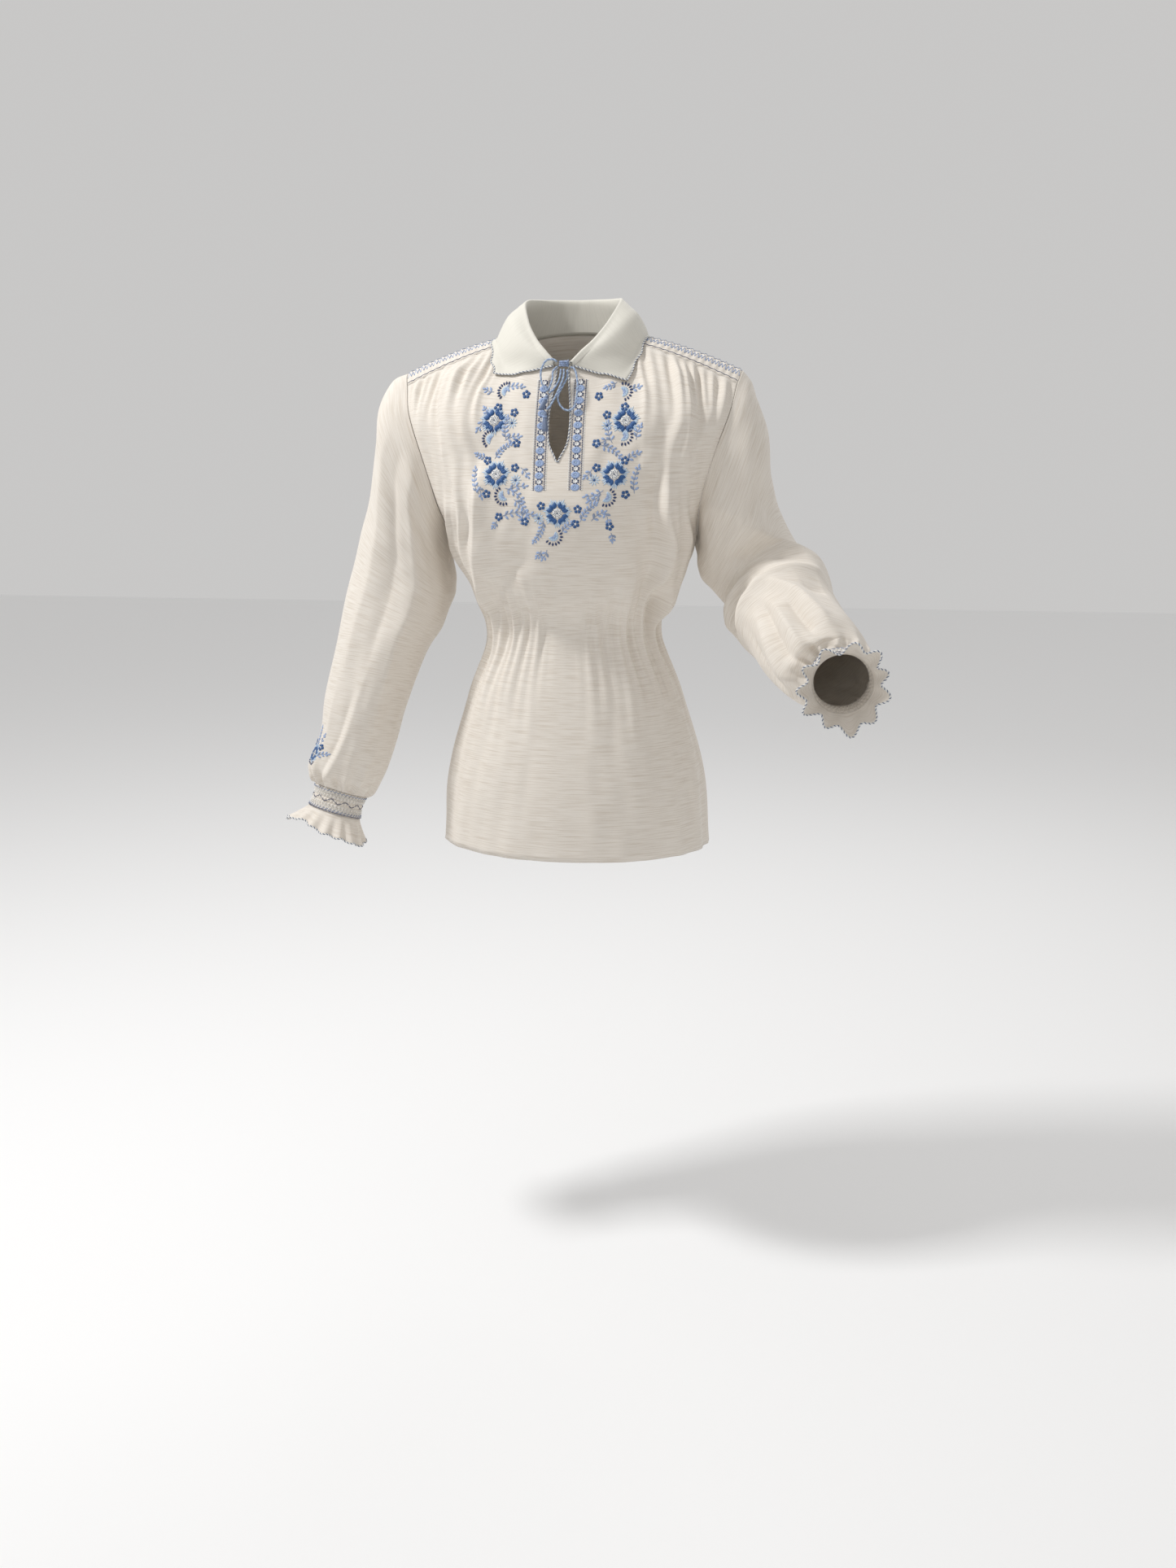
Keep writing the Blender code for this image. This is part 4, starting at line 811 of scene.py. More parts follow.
def in_front(tree, route, distance, count):
    """A smooth path along a route seen from the front, at a distance in front of the cloth."""
    at = np.linspace(0, len(route) - 1, count)
    flat = smooth_through(range(len(route)), route, at)
    y = np.array([first_cloth_y(tree, x, z) for x, z in flat])
    foremost = np.lib.stride_tricks.sliding_window_view(np.pad(y, 2, "edge"), 5).min(1)
    y = np.convolve(np.pad(foremost, 2, "edge"), np.full(5, 0.2), "valid")
    return np.stack([flat[:, 0], y - distance, flat[:, 1]], -1)


def linear(colour):
    """A colour in sRGB shares as the linear values that Blender takes."""
    c = np.array(colour)
    return tuple(np.where(c <= 0.04045, c / 12.92, ((c + 0.055) / 1.055) ** 2.4))


def new_material(name, roughness, sheen):
    material = bpy.data.materials.new(name)
    material.use_nodes = True
    shader = material.node_tree.nodes["Principled BSDF"]
    shader.inputs["Roughness"].default_value = roughness
    shader.inputs["Sheen Weight"].default_value = sheen
    return material, shader


def cloth_material(name, light, dark, roughness):
    """Slub cotton: uneven weft threads run across the cloth as streaks."""
    material, shader = new_material(name, roughness, CLOTH_SHEEN)
    nodes, links = material.node_tree.nodes, material.node_tree.links
    places = nodes.new("ShaderNodeUVMap")
    stretch = nodes.new("ShaderNodeMapping")
    stretch.inputs["Scale"].default_value = SLUB_SCALE
    slub = nodes.new("ShaderNodeTexNoise")
    slub.inputs["Scale"].default_value = 1.0
    slub.inputs["Detail"].default_value = 3.0
    ramp = nodes.new("ShaderNodeValToRGB")
    for end, position, colour in zip(ramp.color_ramp.elements, SLUB_RANGE, (dark, light)):
        end.position = position
        end.color = (*linear(colour), 1)
    bump = nodes.new("ShaderNodeBump")
    bump.inputs["Strength"].default_value = SLUB_BUMP
    bump.inputs["Distance"].default_value = SLUB_HEIGHT
    for source, output, target, socket in (
        (places, "UV", stretch, "Vector"), (stretch, "Vector", slub, "Vector"),
        (slub, "Fac", ramp, "Fac"), (ramp, "Color", shader, "Base Color"),
        (slub, "Fac", bump, "Height"), (bump, "Normal", shader, "Normal"),
    ):
        links.new(source.outputs[output], target.inputs[socket])


def thread_material(name, colour):
    shader = new_material(name, THREAD_ROUGHNESS, THREAD_SHEEN)[1]
    shader.inputs["Base Color"].default_value = (*linear(colour), 1)


def in_scene(name, data):
    """A new object in the scene for a mesh, a lamp or a camera."""
    obj = bpy.data.objects.new(name, data)
    bpy.context.scene.collection.objects.link(obj)
    return obj


def add_object(name, verts, faces, materials):
    """A smooth object that rides on the part, with the materials that its faces can take."""
    mesh = bpy.data.meshes.new(name)
    mesh.from_pydata(np.asarray(verts).tolist(), [], faces)
    mesh.shade_smooth()
    for material in materials:
        mesh.materials.append(bpy.data.materials[material])
    obj = in_scene(name, mesh)
    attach(obj, "root")
    return obj


def lengths_along(grid, axis):
    """Mean running length of a grid along one axis, in metres."""
    step = np.linalg.norm(np.diff(grid, axis=axis), axis=-1)
    return np.concatenate([[0], np.cumsum(step.mean(1 - axis))])


def run_along(path):
    """Running length of a path at each of its points."""
    return lengths_along(path[:, None], 0)


def add_shell(name, node, grid, out, material, closed=False, skip=(), thick=SHELL):
    """A thin cloth wall on a grid of outer points, which stands for the CAD node."""
    rows, columns = grid.shape[:2]
    faces = grid_faces(rows, columns, closed, skip)
    middle_face = faces[len(faces) // 2]
    a, b, c = grid.reshape(-1, 3)[list(middle_face[:3])]
    if np.cross(b - a, c - b) @ out.reshape(-1, 3)[middle_face[0]] < 0:
        faces = [face[::-1] for face in faces]
    obj = add_object(name, grid.reshape(-1, 3), faces, [material])
    across, up = lengths_along(grid, 1), lengths_along(grid, 0)
    layer = obj.data.uv_layers.new(name="UVMap")
    for loop in obj.data.loops:
        i, j = divmod(loop.vertex_index, columns)
        layer.data[loop.index].uv = (across[j], up[i])
    wall = obj.modifiers.new("wall", "SOLIDIFY")
    wall.thickness = thick
    wall.offset = -1
    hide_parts(node)


def resample(path, step):
    """The path with points at even steps along it."""
    run = run_along(path)
    at = np.linspace(0, run[-1], max(int(run[-1] / step), 2))
    return np.stack([np.interp(at, run, path[:, k]) for k in range(3)], -1)


def sides_of(path):
    """Two directions square to a path at each of its points, carried along without twisting."""
    along = unit(np.gradient(path, axis=0))
    side = np.zeros_like(path)
    start = np.array([0, 0, 1.0]) if abs(along[0, 2]) < 0.9 else np.array([1.0, 0, 0])
    for k, way in enumerate(along):
        start = start - way * (start @ way)
        start = start / np.linalg.norm(start)
        side[k] = start
    return side, np.cross(along, side)


def tube_mesh(path, radius, sides):
    """Points and faces of a closed tube along a path."""
    a, b = sides_of(path)
    turn = np.linspace(0, 2 * np.pi, sides, endpoint=False)
    ring = a[:, None] * np.cos(turn)[None, :, None] + b[:, None] * np.sin(turn)[None, :, None]
    faces = grid_faces(len(path), sides, closed=True)
    last = (len(path) - 1) * sides
    faces.append(tuple(range(sides))[::-1])
    faces.append(tuple(range(last, last + sides)))
    return (path[:, None] + ring * radius).reshape(-1, 3), faces


def add_mesh(name, parts, material):
    """One object from several (points, faces) parts."""
    verts, faces, _ = joined(parts)
    return add_object(name, verts, faces, [material])


def add_threads(name, rows):
    """Thin threads from (colour, path) rows, with one object for each colour."""
    parts = {}
    for colour, path in rows:
        parts.setdefault(colour, []).append(tube_mesh(path, THREAD, THREAD_SIDES))
    for colour, tubes in parts.items():
        add_mesh(f"{name}_{colour}", tubes, colour)


def add_twist(name, path, radius, twists, colours):
    """A cord of strands twisted together along a path: one mesh with a material for each strand."""
    path = resample(path, TWIST_STEP)
    a, b = sides_of(path)
    turn = 2 * np.pi * twists * run_along(path)
    strands = []
    for k in range(len(colours)):
        phase = turn + 2 * np.pi * k / len(colours)
        centre = path + (a * np.cos(phase)[:, None] + b * np.sin(phase)[:, None]) * radius * STRAND_OFFSET
        strands.append(tube_mesh(centre, radius * STRAND_RADIUS, STRAND_SIDES))
    verts, faces, owners = joined(strands)
    obj = add_object(name, verts, faces, colours)
    obj.data.polygons.foreach_set("material_index", owners)
    return obj


def soft_waves(a, b, seed):
    """Gentle uneven waves between -1 and 1 over two coordinates."""
    return (
        np.sin(2.3 * a + 1.1 * b + seed) * np.sin(0.7 * a - 1.9 * b + 2 * seed)
        + 0.5 * np.sin(5.1 * a - 0.8 * b + 3 * seed) * np.sin(1.3 * a + 3.1 * b + seed)
    ) / 1.5


def fold_lift(x, z):
    """How far the folds stand out at each place: round at the crest, with its own slope on either side."""
    lift = np.zeros_like(x)
    for height, left, right, route in FRONT_FOLDS:
        route_x, route_z = np.array(route).T
        off = x - np.interp(-z, -route_z, route_x)
        fall = np.where(off < 0, off / left, off / right)
        begin = ease(z, route_z[0] + 0.03, route_z[0] - 0.01)
        end = ease(z, route_z[-1] - 0.04, route_z[-1] + 0.01)
        lift += height * np.exp(1 - np.sqrt(1 + fall**2)) * begin * end
    under_collar = ease(z, -0.060, -0.038) * ease(np.abs(x), 0.112, 0.090)
    return lift * (1 - under_collar)


def fine_panel(face, side, u, t):
    """A panel's outer points with its fine gathers, soft wrinkles and long folds added."""
    points, out = panel_point(face, side, u, t)
    q = np.clip((u - NECK_SHARE) / (1 - NECK_SHARE), 0, 1)[None, :]
    u, v = u[None, :], t[:, None]
    fade = ease(v, 7.6, 8.8) * (1 - 0.7 * ease(v, 8.8, TOP)) * ease(q, 0.02, 0.12) * ease(q, 1, 0.95)
    gathers = FINE_GATHER * np.cos(2 * np.pi * FINE_GATHERS * (q + 0.02 * np.sin(9 * q + side))) * fade
    calm = ease(u, 1, 0.9) * ease(v, TOP, 8.6) * ease(u, 0.06, 0.16)
    wrinkles = PANEL_WRINKLE * soft_waves(9 * u + 0 * v, 1.5 * v + side, 1.7 + face) * calm
    waist = WAIST_GATHER * np.cos(2 * np.pi * (13 * u + 0.3 * np.sin(2 * v))) * calm
    waist = waist * np.exp(-(((v - WAIST) / 0.9) ** 2))
    folds = fold_lift(-face * points[..., 0], points[..., 2]) * ease(u, 1, 0.93) * ease(v, TOP, 8.6)
    return points + out * (gathers + wrinkles + waist + folds)[..., None], out


def whole_panel(face, u, t):
    """Both halves of a panel. The slit parts those of the front, and those of the back share their middle."""
    right, left = fine_panel(face, -1, u, t), fine_panel(face, 1, u, t)
    start = 0 if face < 0 else 1
    return [np.concatenate([a[:, ::-1], b[:, start:]], 1) for a, b in zip(right, left)]


def dress_body():
    """Front, back and smocked shoulder pieces. Returns their outer grids."""
    u = np.concatenate([NECK_PLACES, SHOULDER_PLACES[1:]])
    front, front_out = whole_panel(-1, u, LEVELS_FINE)
    slit = {(i, len(u) - 1) for i, level in enumerate(LEVELS_FINE) if level >= SLIT_END}
    add_shell("front_cloth", "front", front, front_out, "slub_cotton", skip=slit)
    back, back_out = whole_panel(1, u, LEVELS_FINE)
    add_shell("back_cloth", "back", back, back_out, "slub_cotton")
    grids = [front, back]
    q = np.linspace(0, 1, 16 * YOKE_RIBS + 1)
    for name, side in SIDES.items():
        yoke, out = yoke_surface(side, q, YOKE_PLACES)
        node = f"shoulder_smocking_{name}"
        add_shell(f"shoulder_{name}_cloth", node, yoke, out, "smocked_slub_cotton")
        grids.append(yoke)
    return grids


def dress_sleeve(name):
    """One sleeve with its creases, wrinkles and gathers. Returns its outer grid."""
    side, table = SIDES[name], SLEEVES[name]
    loop = with_middles(armhole_loop(side)[0] + np.array([side * ARMHOLE_GAP, 0, 0]))
    angle = angles_round(table, loop)
    end = len(table) - 1
    v = np.linspace(0, end, SLEEVE_SECTIONS)
    points, out = sleeve_surface(side, table, angle, v, loop)
    a, b = angle[None, :], v[:, None]
    wrinkles = SLEEVE_WRINKLE * soft_waves(3 * np.cos(a) + 2 * np.sin(a), 1.3 * b, 0.9 + side)
    near_cuff = ease(b, end - 2.0, end - 0.4) * ease(b, end, end - 0.3)
    gathers = SLEEVE_GATHER * np.cos(27 * a + 2 * np.sin(3 * a)) * near_cuff
    lift = (small_creases(side, a, b) + wrinkles) * ease(b, 0, 1.2) * ease(b, end, end - 1) + gathers
    points = points + out * lift[..., None]
    add_shell(f"sleeve_{name}_cloth", f"sleeve_{name}", points, out, "slub_cotton", closed=True)
    return points


def cuff_radius(radius, share):
    """Radius of a cuff from its top (share 0) to its bottom (1), drawn in a little between them."""
    return radius - 0.0022 * np.sin(np.pi * share) + (CUFF_BOTTOM_RADIUS - radius) * share


def dress_cuff(name):
    """Honeycomb smocking: rows of small scallops, each row set half a scallop on."""
    table = SLEEVES[name]
    radius = cuff_frame(table)[4]
    angle = np.linspace(0, 2 * np.pi, 6 * CUFF_SCALLOPS, endpoint=False)[None, :]
    share = np.linspace(0, 1, 6 * CUFF_BANDS + 1)[:, None]
    distance = GAP + share * (CUFF_LENGTH - 2 * GAP)
    row = np.floor(np.minimum(share, 0.999) * CUFF_BANDS)
    cell = np.abs(np.cos(CUFF_SCALLOPS / 2 * angle + np.pi / 2 * row))
    bulge = SCALLOP_HEIGHT * cell * np.abs(np.sin(np.pi * CUFF_BANDS * share)) ** 0.5
    grid = ring_at(table, distance, cuff_radius(radius, share) + bulge, angle)
    out = grid - ring_at(table, distance, 0 * share, angle)
    add_shell(
        f"cuff_{name}_cloth", f"cuff_{name}", grid, out, "smocked_slub_cotton", closed=True,
    )
    fine = np.linspace(0, 2 * np.pi, 30 * CUFF_SCALLOPS + 1)
    threads = []
    for colour, place, height, waves in CUFF_THREADS:
        at = place + height * np.sin(waves * fine)
        far = cuff_radius(radius, at) + CUFF_THREAD_RISE
        path = ring_at(table, GAP + at * (CUFF_LENGTH - 2 * GAP), far, fine)
        threads.append((colour, path[::3]))
    add_threads(f"cuff_{name}", threads)


def dress_ruffle(name):
    """A flared, uneven ruffle with twisted edging."""
    table = SLEEVES[name]
    angle = np.linspace(0, 2 * np.pi, 16 * RUFFLES[name][0], endpoint=False)[None, :]
    share = np.linspace(0, 1, 14)[:, None]
    distance, radius = ruffle_shape(name, share, angle)
    uneven = share * (0.0022 * np.sin(3 * angle + 1) + 0.0016 * np.sin(5 * angle))
    grid = ring_at(table, distance + uneven, radius + uneven, angle + 0 * share)
    around = np.roll(grid, -1, 1) - np.roll(grid, 1, 1)
    out = unit(np.cross(around, np.gradient(grid, axis=0)))
    out = out * np.sign(np.sum(out * (grid - cuff_frame(table)[0]), -1).mean())
    add_shell(
        f"ruffle_{name}_cloth", f"ruffle_{name}", grid, out, "slub_cotton", closed=True,
    )
    edge = np.concatenate([grid[-1], grid[-1, :1]])
    add_twist(f"ruffle_{name}_edging", edge, 0.0011, EDGE_TWISTS, EDGE_STRANDS)


def dress_collar(tree):
    """The folded collar, laid clear of the cloth under it. Returns its outer grid."""
    stations = np.linspace(0, 1, 64)
    places = np.linspace(0, 8, 41)
    half = {side: np.array([collar_profile(side, s, places) for s in stations]) for side in (-1, 1)}
    under = np.concatenate([half[-1][::-1], half[1][1:]], 0)
    under = lay_on(tree, under, COLLAR_CLEARANCE, COLLAR_FREE)
    for _ in range(10):
        free = under[:, COLLAR_FREE:]
        under[1:-1, COLLAR_FREE:] = (free[:-2] + 2 * free[1:-1] + free[2:]) / 4
    out = unit(np.cross(np.gradient(under, axis=1), np.gradient(under, axis=0)))
    out = out * np.sign(np.sum(out[:, 0] * -under[:, 0], -1).mean())
    outer = under + out * COLLAR_THICKNESS
    add_shell("collar_cloth", "collar", outer, out, "white_cotton", thick=COLLAR_SHELL)
    rim = np.concatenate([outer[0, COLLAR_FREE:], outer[1:-1, -1], outer[-1, : COLLAR_FREE - 1 : -1]])
    add_twist("collar_edging", resample(rim, 0.0009), 0.0010, EDGE_TWISTS, EDGE_STRANDS)
    return outer


def even_angles(count):
    return 2 * np.pi * np.arange(count) / count


def turned(centre, angle, reach):
    return np.array(centre) + reach * np.array([math.cos(angle), math.sin(angle)])


def petal(root, tip, width, n=5, point=0.5):
    """The outline of one satin stitch shape from its root to its tip; point is where it is widest."""
    root, tip = np.array(root, float), np.array(tip, float)
    along = tip - root
    aside = np.array([-along[1], along[0]]) / max(np.linalg.norm(along), 1e-9)
    s = np.linspace(0, 1, n)
    bulge = np.sin(np.pi * s ** (math.log(0.5) / math.log(point)))
    half = aside * (bulge * width / 2)[:, None]
    middle = root + along * s[:, None]
    return np.concatenate([middle + half, (middle - half)[-2:0:-1]])


def petals(centre, angles, near, far, width, **form):
    """Petals that point away from a centre, one at each angle."""
    return [petal(turned(centre, a, near), turned(centre, a, far), width, **form) for a in angles]


def disc(centre, radius, n=8):
    return np.array([turned(centre, angle, radius) for angle in even_angles(n)])


def large_flower(stitches, centre):
    """A pale halo, four toothed groups of dark petals and a white centre with small stitches."""
    for k, angle in enumerate(even_angles(40)):
        reach = 0.0146 + 0.0018 * math.sin(7 * angle) + 0.0012 * (k % 2)
        stitches["thread_pale_blue"] += petals(centre, [angle], 0.0085, reach, 0.0018)
    for middle in np.radians((45, 135, 225, 315)):
        for tooth in range(-2, 3):
            turn = math.radians(14.5) * tooth
            root = turned(centre, middle + turn * 0.9, 0.0058)
            tip = turned(centre, middle + turn, 0.0114 if tooth % 2 else 0.0132)
            stitches["thread_dark_blue"].append(petal(root, tip, 0.0044, point=0.45))
    stitches["thread_white"] += petals(centre, even_angles(14), 0.0004, 0.0061, 0.0026, point=0.6)
    for k, angle in enumerate(even_angles(14)):
        near = 0.0022 + 0.0012 * (k % 2)
        tip = turned(centre, angle + 0.3, near + 0.0015)
        stitches["thread_slate"].append(petal(turned(centre, angle, near), tip, 0.0006))
    bar = petal(turned(centre, 2.6, 0.0016), turned(centre, -0.5, 0.0016), 0.0009)
    stitches["thread_slate"].append(bar)


def small_flower(stitches, centre, start):
    angles = start + even_angles(5)
    stitches["thread_dark_blue"] += petals(centre, angles, 0.0006, 0.0051, 0.0040, n=6, point=0.62)
    stitches["thread_white"].append(disc(centre, 0.0012))


def tiny_star(stitches, centre):
    stitches["thread_pale_blue"] += petals(centre, even_angles(10), 0.0012, 0.0068, 0.0016)
    stitches["thread_dark_blue"].append(disc(centre, 0.0014))


def fan(stitches, x, z, first, last):
    """Navy dashes round a pale half flower."""
    for colour, beyond, count, near, far, width in FAN_PETALS:
        angles = np.radians(np.linspace(first - beyond, last + beyond, count))
        stitches[colour] += petals((x, z), angles, near, far, width)


def spray(stitches, root_x, root_z, tip_x, tip_z, pairs):
    """A curved stem with pairs of leaves."""
    root, tip = np.array([root_x, root_z]), np.array([tip_x, tip_z])
    along = tip - root
    length = np.linalg.norm(along)
    along = along / length
    aside = np.array([-along[1], along[0]])

    def on_stem(share):
        return root + along * share * length + aside * 0.10 * length * math.sin(math.pi * share)

    stem = [on_stem(share) for share in np.linspace(0, 1, 7)]
    for a, b in zip(stem, stem[1:]):
        stitches["thread_grey_blue"].append(petal(a - (b - a) * 0.3, b + (b - a) * 0.3, 0.0009, n=4))
    pairs = max(round(pairs * 0.8), 2)
    reach = min(max(length / pairs * 1.3, 0.0040), 0.0060)
    for k in range(pairs):
        share = (k + 0.5) / pairs
        place = on_stem(share)
        for sign in (-1, 1):
            leaf = (along * 0.75 + aside * sign * (0.85 - 0.2 * share)) * reach * (1 - 0.25 * share)
            grey = k % 3 == 0 and (k + (sign > 0)) % 2
            colour = "thread_grey_blue" if grey else "thread_light_blue"
            stitches[colour].append(petal(place, place + leaf, 0.0028, point=0.6))
    last = petal(tip - along * 0.001, tip + along * reach * 0.8, 0.0024, point=0.6)
    stitches["thread_light_blue"].append(last)


def band(stitches, top_x, top_z, low_x, low_z):
    """Stars in light blue squares that alternate with white ones, between dotted navy edges."""
    top, low = np.array([top_x, top_z]), np.array([low_x, low_z])
    along = low - top
    length = np.linalg.norm(along)
    along = along / length
    aside = np.array([-along[1], along[0]])
    cell = length / (2 * BAND_SQUARES)

    def oval(turn, tall, wide):
        return along * math.cos(turn) * cell * tall + aside * math.sin(turn) * BAND_WIDTH * wide

    for k in range(2 * BAND_SQUARES):
        middle = top + along * cell * (k + 0.5)
        if k % 2:
            for way in (oval(turn, 0.56, 0.44) for turn in even_angles(12)):
                leaf = petal(middle + way * 0.12, middle + way * 1.08, 0.0029, point=0.65)
                stitches["thread_light_blue"].append(leaf)
            stitches["thread_pale_blue"].append(disc(middle, 0.0009))
        else:
            for way in (oval(turn + np.pi / 8, 0.50, 0.40) for turn in even_angles(8)):
                stitches["thread_white"].append(petal(middle, middle + way * 1.1, 0.0020))
                stitches["thread_navy"].append(petal(middle + way * 0.50, middle + way * 1.02, 0.0018))
    for out in (-aside, aside):
        for k in range(int(length / BAND_DOT_STEP)):
            place = top + along * BAND_DOT_STEP * (k + 0.5)
            stitches["thread_navy"].append(disc(place + out * BAND_WIDTH * 0.53, 0.00065, 6))
            outer = place + out * BAND_WIDTH * 0.60
            stitches["thread_white"].append(petal(outer, outer + out * 0.0018, 0.0011, n=4))


def sewn_on(stitches, place, name, heights):
    """Each stitched shape as a low cushion. place takes a flat point to the cloth and its normal."""
    for colour, outlines in stitches.items():
        parts = []
        for outline in outlines:
            middle = outline.mean(0)
            ring, ring_out = (np.array(rows) for rows in zip(*(place(p) for p in outline)))
            centre, centre_out = place(middle)
            span = np.linalg.norm(outline - middle, axis=1).min()
            lift = heights[colour] + min(0.0006, 0.35 * span)
            base = ring + ring_out * 0.00005
            shoulder = ring + ring_out * (heights[colour] + 0.0001)
            count = len(outline)
            verts = np.concatenate([base, shoulder, [centre + centre_out * lift]])
            faces = [(k, (k + 1) % count, count + (k + 1) % count, count + k) for k in range(count)]
            faces += [(count + k, count + (k + 1) % count, 2 * count) for k in range(count)]
            parts.append((verts, faces))
        add_mesh(f"{name}_{colour}", parts, colour)


def on_cloth(tree, start, way):
    """Where a line meets the cloth, and the normal there that faces back along the line."""
    spot, normal, _, _ = tree.ray_cast(Vector(start), Vector(way))
    normal = np.array(normal)
    return np.array(spot), -normal if normal @ way > 0 else normal


def embroider_front(tree):
    """Flowers, fans and sprays round the slit, and the two bands beside it."""

    def place(p):
        return on_cloth(tree, (p[0], -0.5, p[1]), (0, 1, 0))

    stitches = {colour: [] for colour in THREADS}
    for centre in LARGE_FLOWERS:
        large_flower(stitches, centre)
    for k, centre in enumerate(SMALL_FLOWERS):
        small_flower(stitches, centre, 0.3 + 1.7 * k)
    for centre in TINY_STARS:
        tiny_star(stitches, centre)
    for row in FANS:
        fan(stitches, *row)
    for row in SPRAYS:
        spray(stitches, *row)
    sewn_on(stitches, place, "embroidery", STITCH_HEIGHTS)
    for name, row in BANDS.items():
        stitches = {colour: [] for colour in BAND_HEIGHTS}
        band(stitches, *row)
        sewn_on(stitches, place, name, BAND_HEIGHTS)


def embroider_sleeve(points):
    """The small spray near the cuff of the right sleeve, on its outer side."""
    tree = surface_tree([np.concatenate([points, points[:, :1]], 1)])

    def place(p):
        section = np.array([SLEEVE_MOTIF_SECTION - p[1] / 0.050])
        centre, outer, front, width, depth = sleeve_frames(SLEEVES["right"], section)
        angle = SLEEVE_MOTIF_ANGLE + p[0] / 0.048
        way = outer[0] * math.cos(angle) * width[0] + front[0] * math.sin(angle) * depth[0]
        way = way / np.linalg.norm(way)
        return on_cloth(tree, centre[0] + way * 0.2, -way)

    stitches = {colour: [] for colour in THREADS}
    large_flower(stitches, (0.0, -0.004))
    small_flower(stitches, (-0.013, 0.012), 0.4)
    small_flower(stitches, (0.014, 0.008), 1.1)
    fan(stitches, 0.0, -0.016, 180, 350)
    for row in SLEEVE_SPRAYS:
        spray(stitches, *row)
    sewn_on(stitches, place, "sleeve_embroidery", STITCH_HEIGHTS)


def stitch_shoulders():
    """Threads across the smocked shoulder pieces: straight at the edges and zigzag between."""
    q = np.linspace(0.005, 0.995, 8 * YOKE_RIBS * 2 + 1)
    zigzag = (2 / np.pi) * np.arcsin(np.sin(2 * np.pi * 2 * YOKE_RIBS * q))
    for name, side in SIDES.items():
        threads = []
        for colour, v, height in SHOULDER_THREADS:
            wave = v + height * zigzag
            rise = yoke_rib(q, wave) + THREAD * 0.6
            threads.append((colour, yoke_point(side, q, wave) + np.array([0, 0, 1.0]) * rise[:, None]))
        add_threads(f"shoulder_{name}", threads)


def edge_slit(front):
    """The twisted edging down one side of the slit and up the other."""
    rows = LEVELS_FINE >= SLIT_END
    columns = front.shape[1] // 2
    path = np.concatenate([front[rows, columns - 1][::-1], front[rows, columns]])
    add_twist("slit_edging", path + np.array([0, -0.0004, 0]), 0.0010, EDGE_TWISTS, EDGE_STRANDS)


def tassel(name, top, size, lean):
    """A bound head and a skirt of thin strands."""

    def hung(drop, aside, towards):
        x = top[0] + lean * drop + aside
        y = top[1] - TASSEL_SLOPE * drop + towards
        return np.stack([x, y, top[2] - drop], -1)

    parts = []
    for k in range(TASSEL_STRANDS):
        turn = 2.4 * k
        drops = np.linspace(0.0, TASSEL_LENGTH + 0.0012 * math.sin(3.7 * k), 9)
        spread = np.interp(drops, TASSEL_DROPS, TASSEL_SPREAD) * math.sqrt((k + 0.5) / TASSEL_STRANDS)
        strand = hung(drops * size, spread * np.cos(turn), spread * np.sin(turn))
        parts.append(tube_mesh(strand, 0.00045, 3))
    half = len(parts) // 2
    threads = add_mesh(f"{name}_strands", parts[:half], "thread_light_blue")
    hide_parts(name)
    add_mesh(f"{name}_pale_strands", parts[half:], "thread_grey_blue")
    wrap = 2 * np.pi * np.linspace(0, 4, 49)
    drop = (0.0050 + 0.0016 * wrap / wrap[-1]) * size
    ring = hung(drop, 0.0025 * np.cos(wrap), 0.0025 * np.sin(wrap))
    add_mesh(f"{name}_binding", [tube_mesh(ring, THREAD, THREAD_SIDES)], "thread_light_blue")
    return threads


def dress_tie(tree):
    """The bow: twisted cords along the same routes as the solids, a knot of cord and two tassels."""
    knot_y = first_cloth_y(tree, *KNOT, reach=0.0055) - KNOT_HALF_SIZE[1] - GAP
    for name, (distance, count, route) in TIE_ROUTES.items():
        points = in_front(tree, route, distance, count)
        blend = ease(np.linalg.norm(points[:, [0, 2]] - np.array(KNOT), axis=1), 0.014, 0.006)
        points[:, 1] += (np.minimum(knot_y, points[:, 1]) - points[:, 1]) * blend
        fine = smooth_through(np.arange(count), points, np.linspace(0, count - 1, 6 * count))
        cord = add_twist(name + "_cord", fine, CORD_RADIUS, TIE_TWISTS, TIE_STRANDS)
        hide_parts(name)
        with_pieces = []
        if name in TASSELS:
            node, size, lean = TASSELS[name]
            with_pieces = [tassel(node, points[-1] + np.array(TASSEL_STEP), size, lean)]
    turn = np.linspace(0, 2 * np.pi * 3, 90)
    wrap = np.stack([
        KNOT[0] + (KNOT_HALF_SIZE[0] - CORD_RADIUS) * np.cos(turn),
        knot_y + (KNOT_HALF_SIZE[1] - CORD_RADIUS) * np.sin(turn),
        KNOT[1] + 0.0030 - 0.0060 * turn / turn[-1],
    ], -1)
    knot = add_twist("knot_wraps", wrap, CORD_RADIUS, TIE_TWISTS, KNOT_STRANDS)
    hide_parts("tie_knot")


def studio_light():
    bpy.context.scene.view_settings.view_transform = "Standard"
    world = bpy.data.worlds.new("studio")
    bpy.context.scene.world = world
    world.use_nodes = True
    background = world.node_tree.nodes["Background"]
    background.inputs["Color"].default_value = (*WORLD_COLOUR, 1)
    background.inputs["Strength"].default_value = WORLD_STRENGTH
    for name, (place, size, power) in LAMPS.items():
        lamp = bpy.data.lights.new(name, "AREA")
        lamp.size = size
        lamp.energy = power
        obj = in_scene(name, lamp)
        obj.location = place
        obj.rotation_euler = (Vector(LAMP_AIM) - Vector(place)).to_track_quat("-Z", "Y").to_euler()


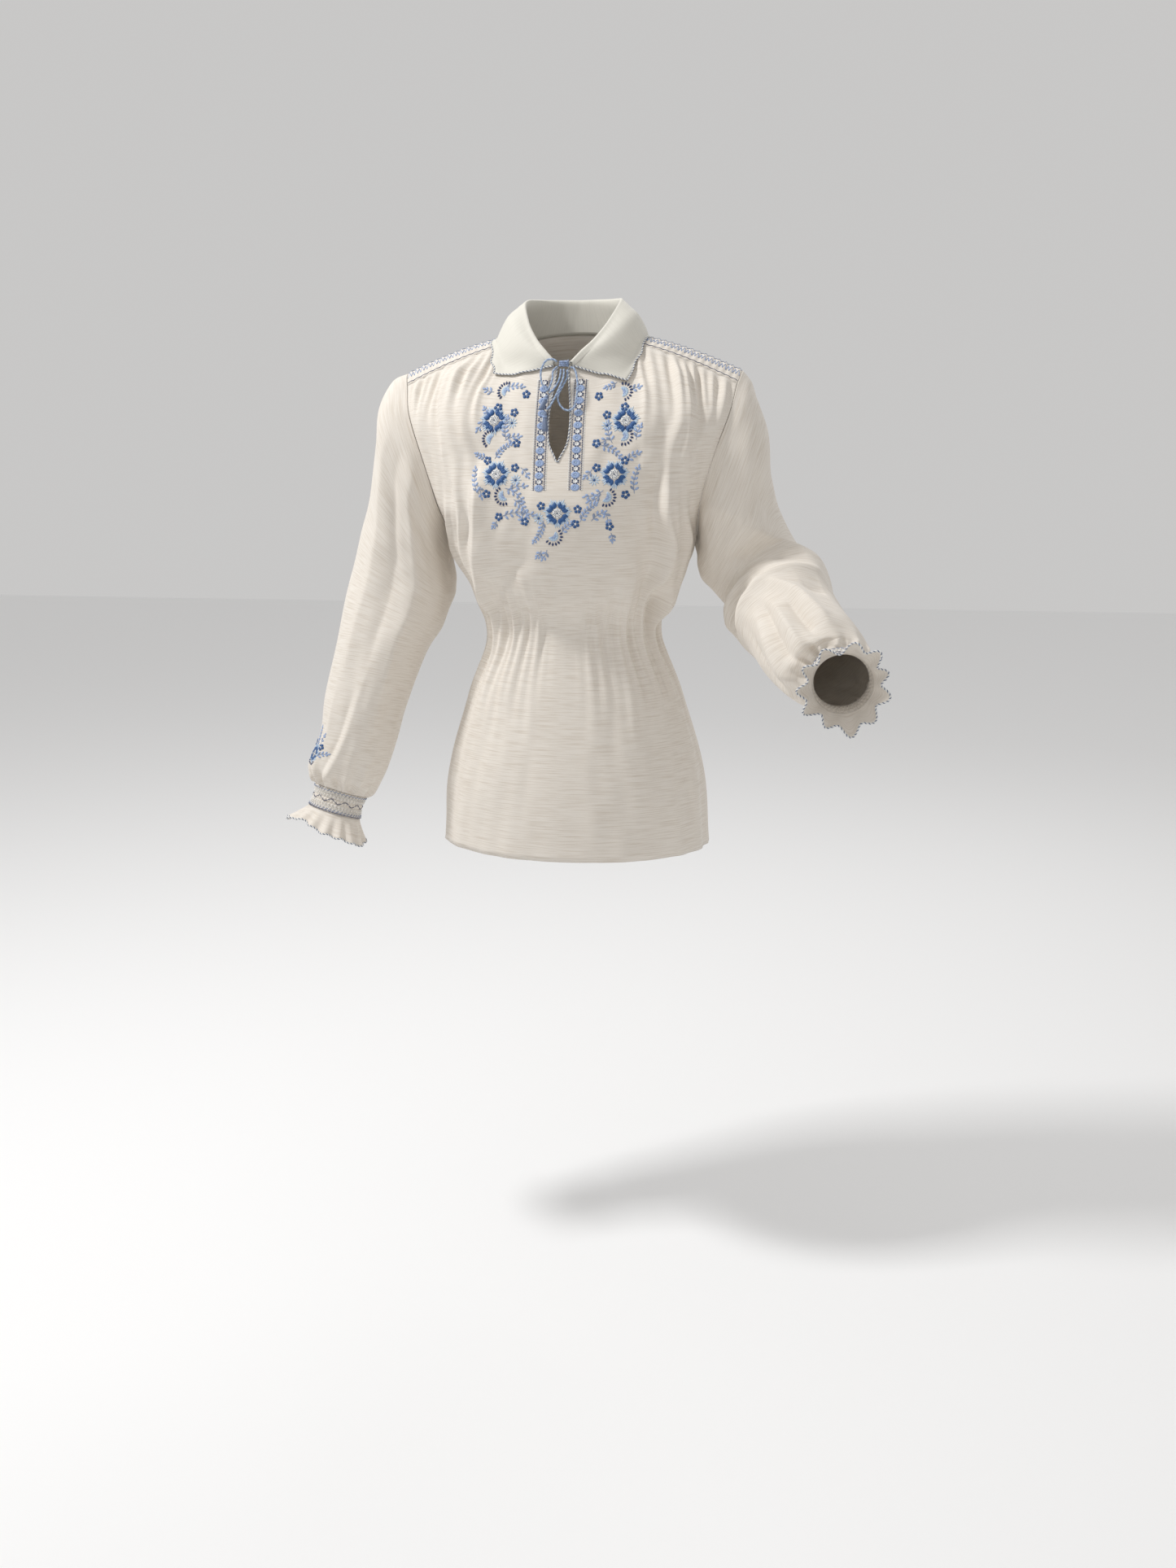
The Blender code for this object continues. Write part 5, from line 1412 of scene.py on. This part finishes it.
def pale_floor():
    """A wide plain floor under the blouse."""
    half = FLOOR_HALF_SIZE
    corners = [(-half, -half, 0), (half, -half, 0), (half, half, 0), (-half, half, 0)]
    mesh = bpy.data.meshes.new("floor")
    mesh.from_pydata(corners, [], [(0, 1, 2, 3)])
    floor = in_scene("floor", mesh)
    floor.location = (0, 0, FLOOR_Z)
    pale, shader = new_material("pale_floor", 0.9, 0.0)
    shader.inputs["Base Color"].default_value = FLOOR_COLOUR
    mesh.materials.append(pale)


def front_camera():
    ahead = Vector((-math.sin(CAMERA_TURN), math.cos(CAMERA_TURN), 0))
    aside = Vector((math.cos(CAMERA_TURN), math.sin(CAMERA_TURN), 0))
    camera = bpy.data.cameras.new("camera")
    camera.sensor_width = 36
    camera.lens = CAMERA_LENS
    obj = in_scene("camera", camera)
    obj.location = -ahead * CAMERA_DISTANCE + aside * CAMERA_SIDE + Vector((0, 0, CAMERA_HEIGHT))
    obj.rotation_euler = (math.pi / 2 - CAMERA_PITCH, 0, CAMERA_TURN)
    bpy.context.scene.camera = obj


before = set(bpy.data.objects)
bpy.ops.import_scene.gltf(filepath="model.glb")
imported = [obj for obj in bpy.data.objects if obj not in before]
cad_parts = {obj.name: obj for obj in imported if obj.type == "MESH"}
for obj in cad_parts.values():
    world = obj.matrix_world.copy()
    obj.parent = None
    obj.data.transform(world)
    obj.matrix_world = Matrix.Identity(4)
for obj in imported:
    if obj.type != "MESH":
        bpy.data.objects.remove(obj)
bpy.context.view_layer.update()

for cloth, values in CLOTHS.items():
    cloth_material(cloth, *values)
for thread, colour in THREADS.items():
    thread_material(thread, colour)

body = dress_body()
sleeves = {name: dress_sleeve(name) for name in SLEEVES}
for name in SLEEVES:
    dress_cuff(name)
    dress_ruffle(name)
collar = dress_collar(surface_tree(body))
stitch_shoulders()
edge_slit(body[0])
embroider_front(surface_tree(body[:1]))
embroider_sleeve(sleeves["right"])
dress_tie(surface_tree(body + [collar]))
studio_light()
pale_floor()
front_camera()
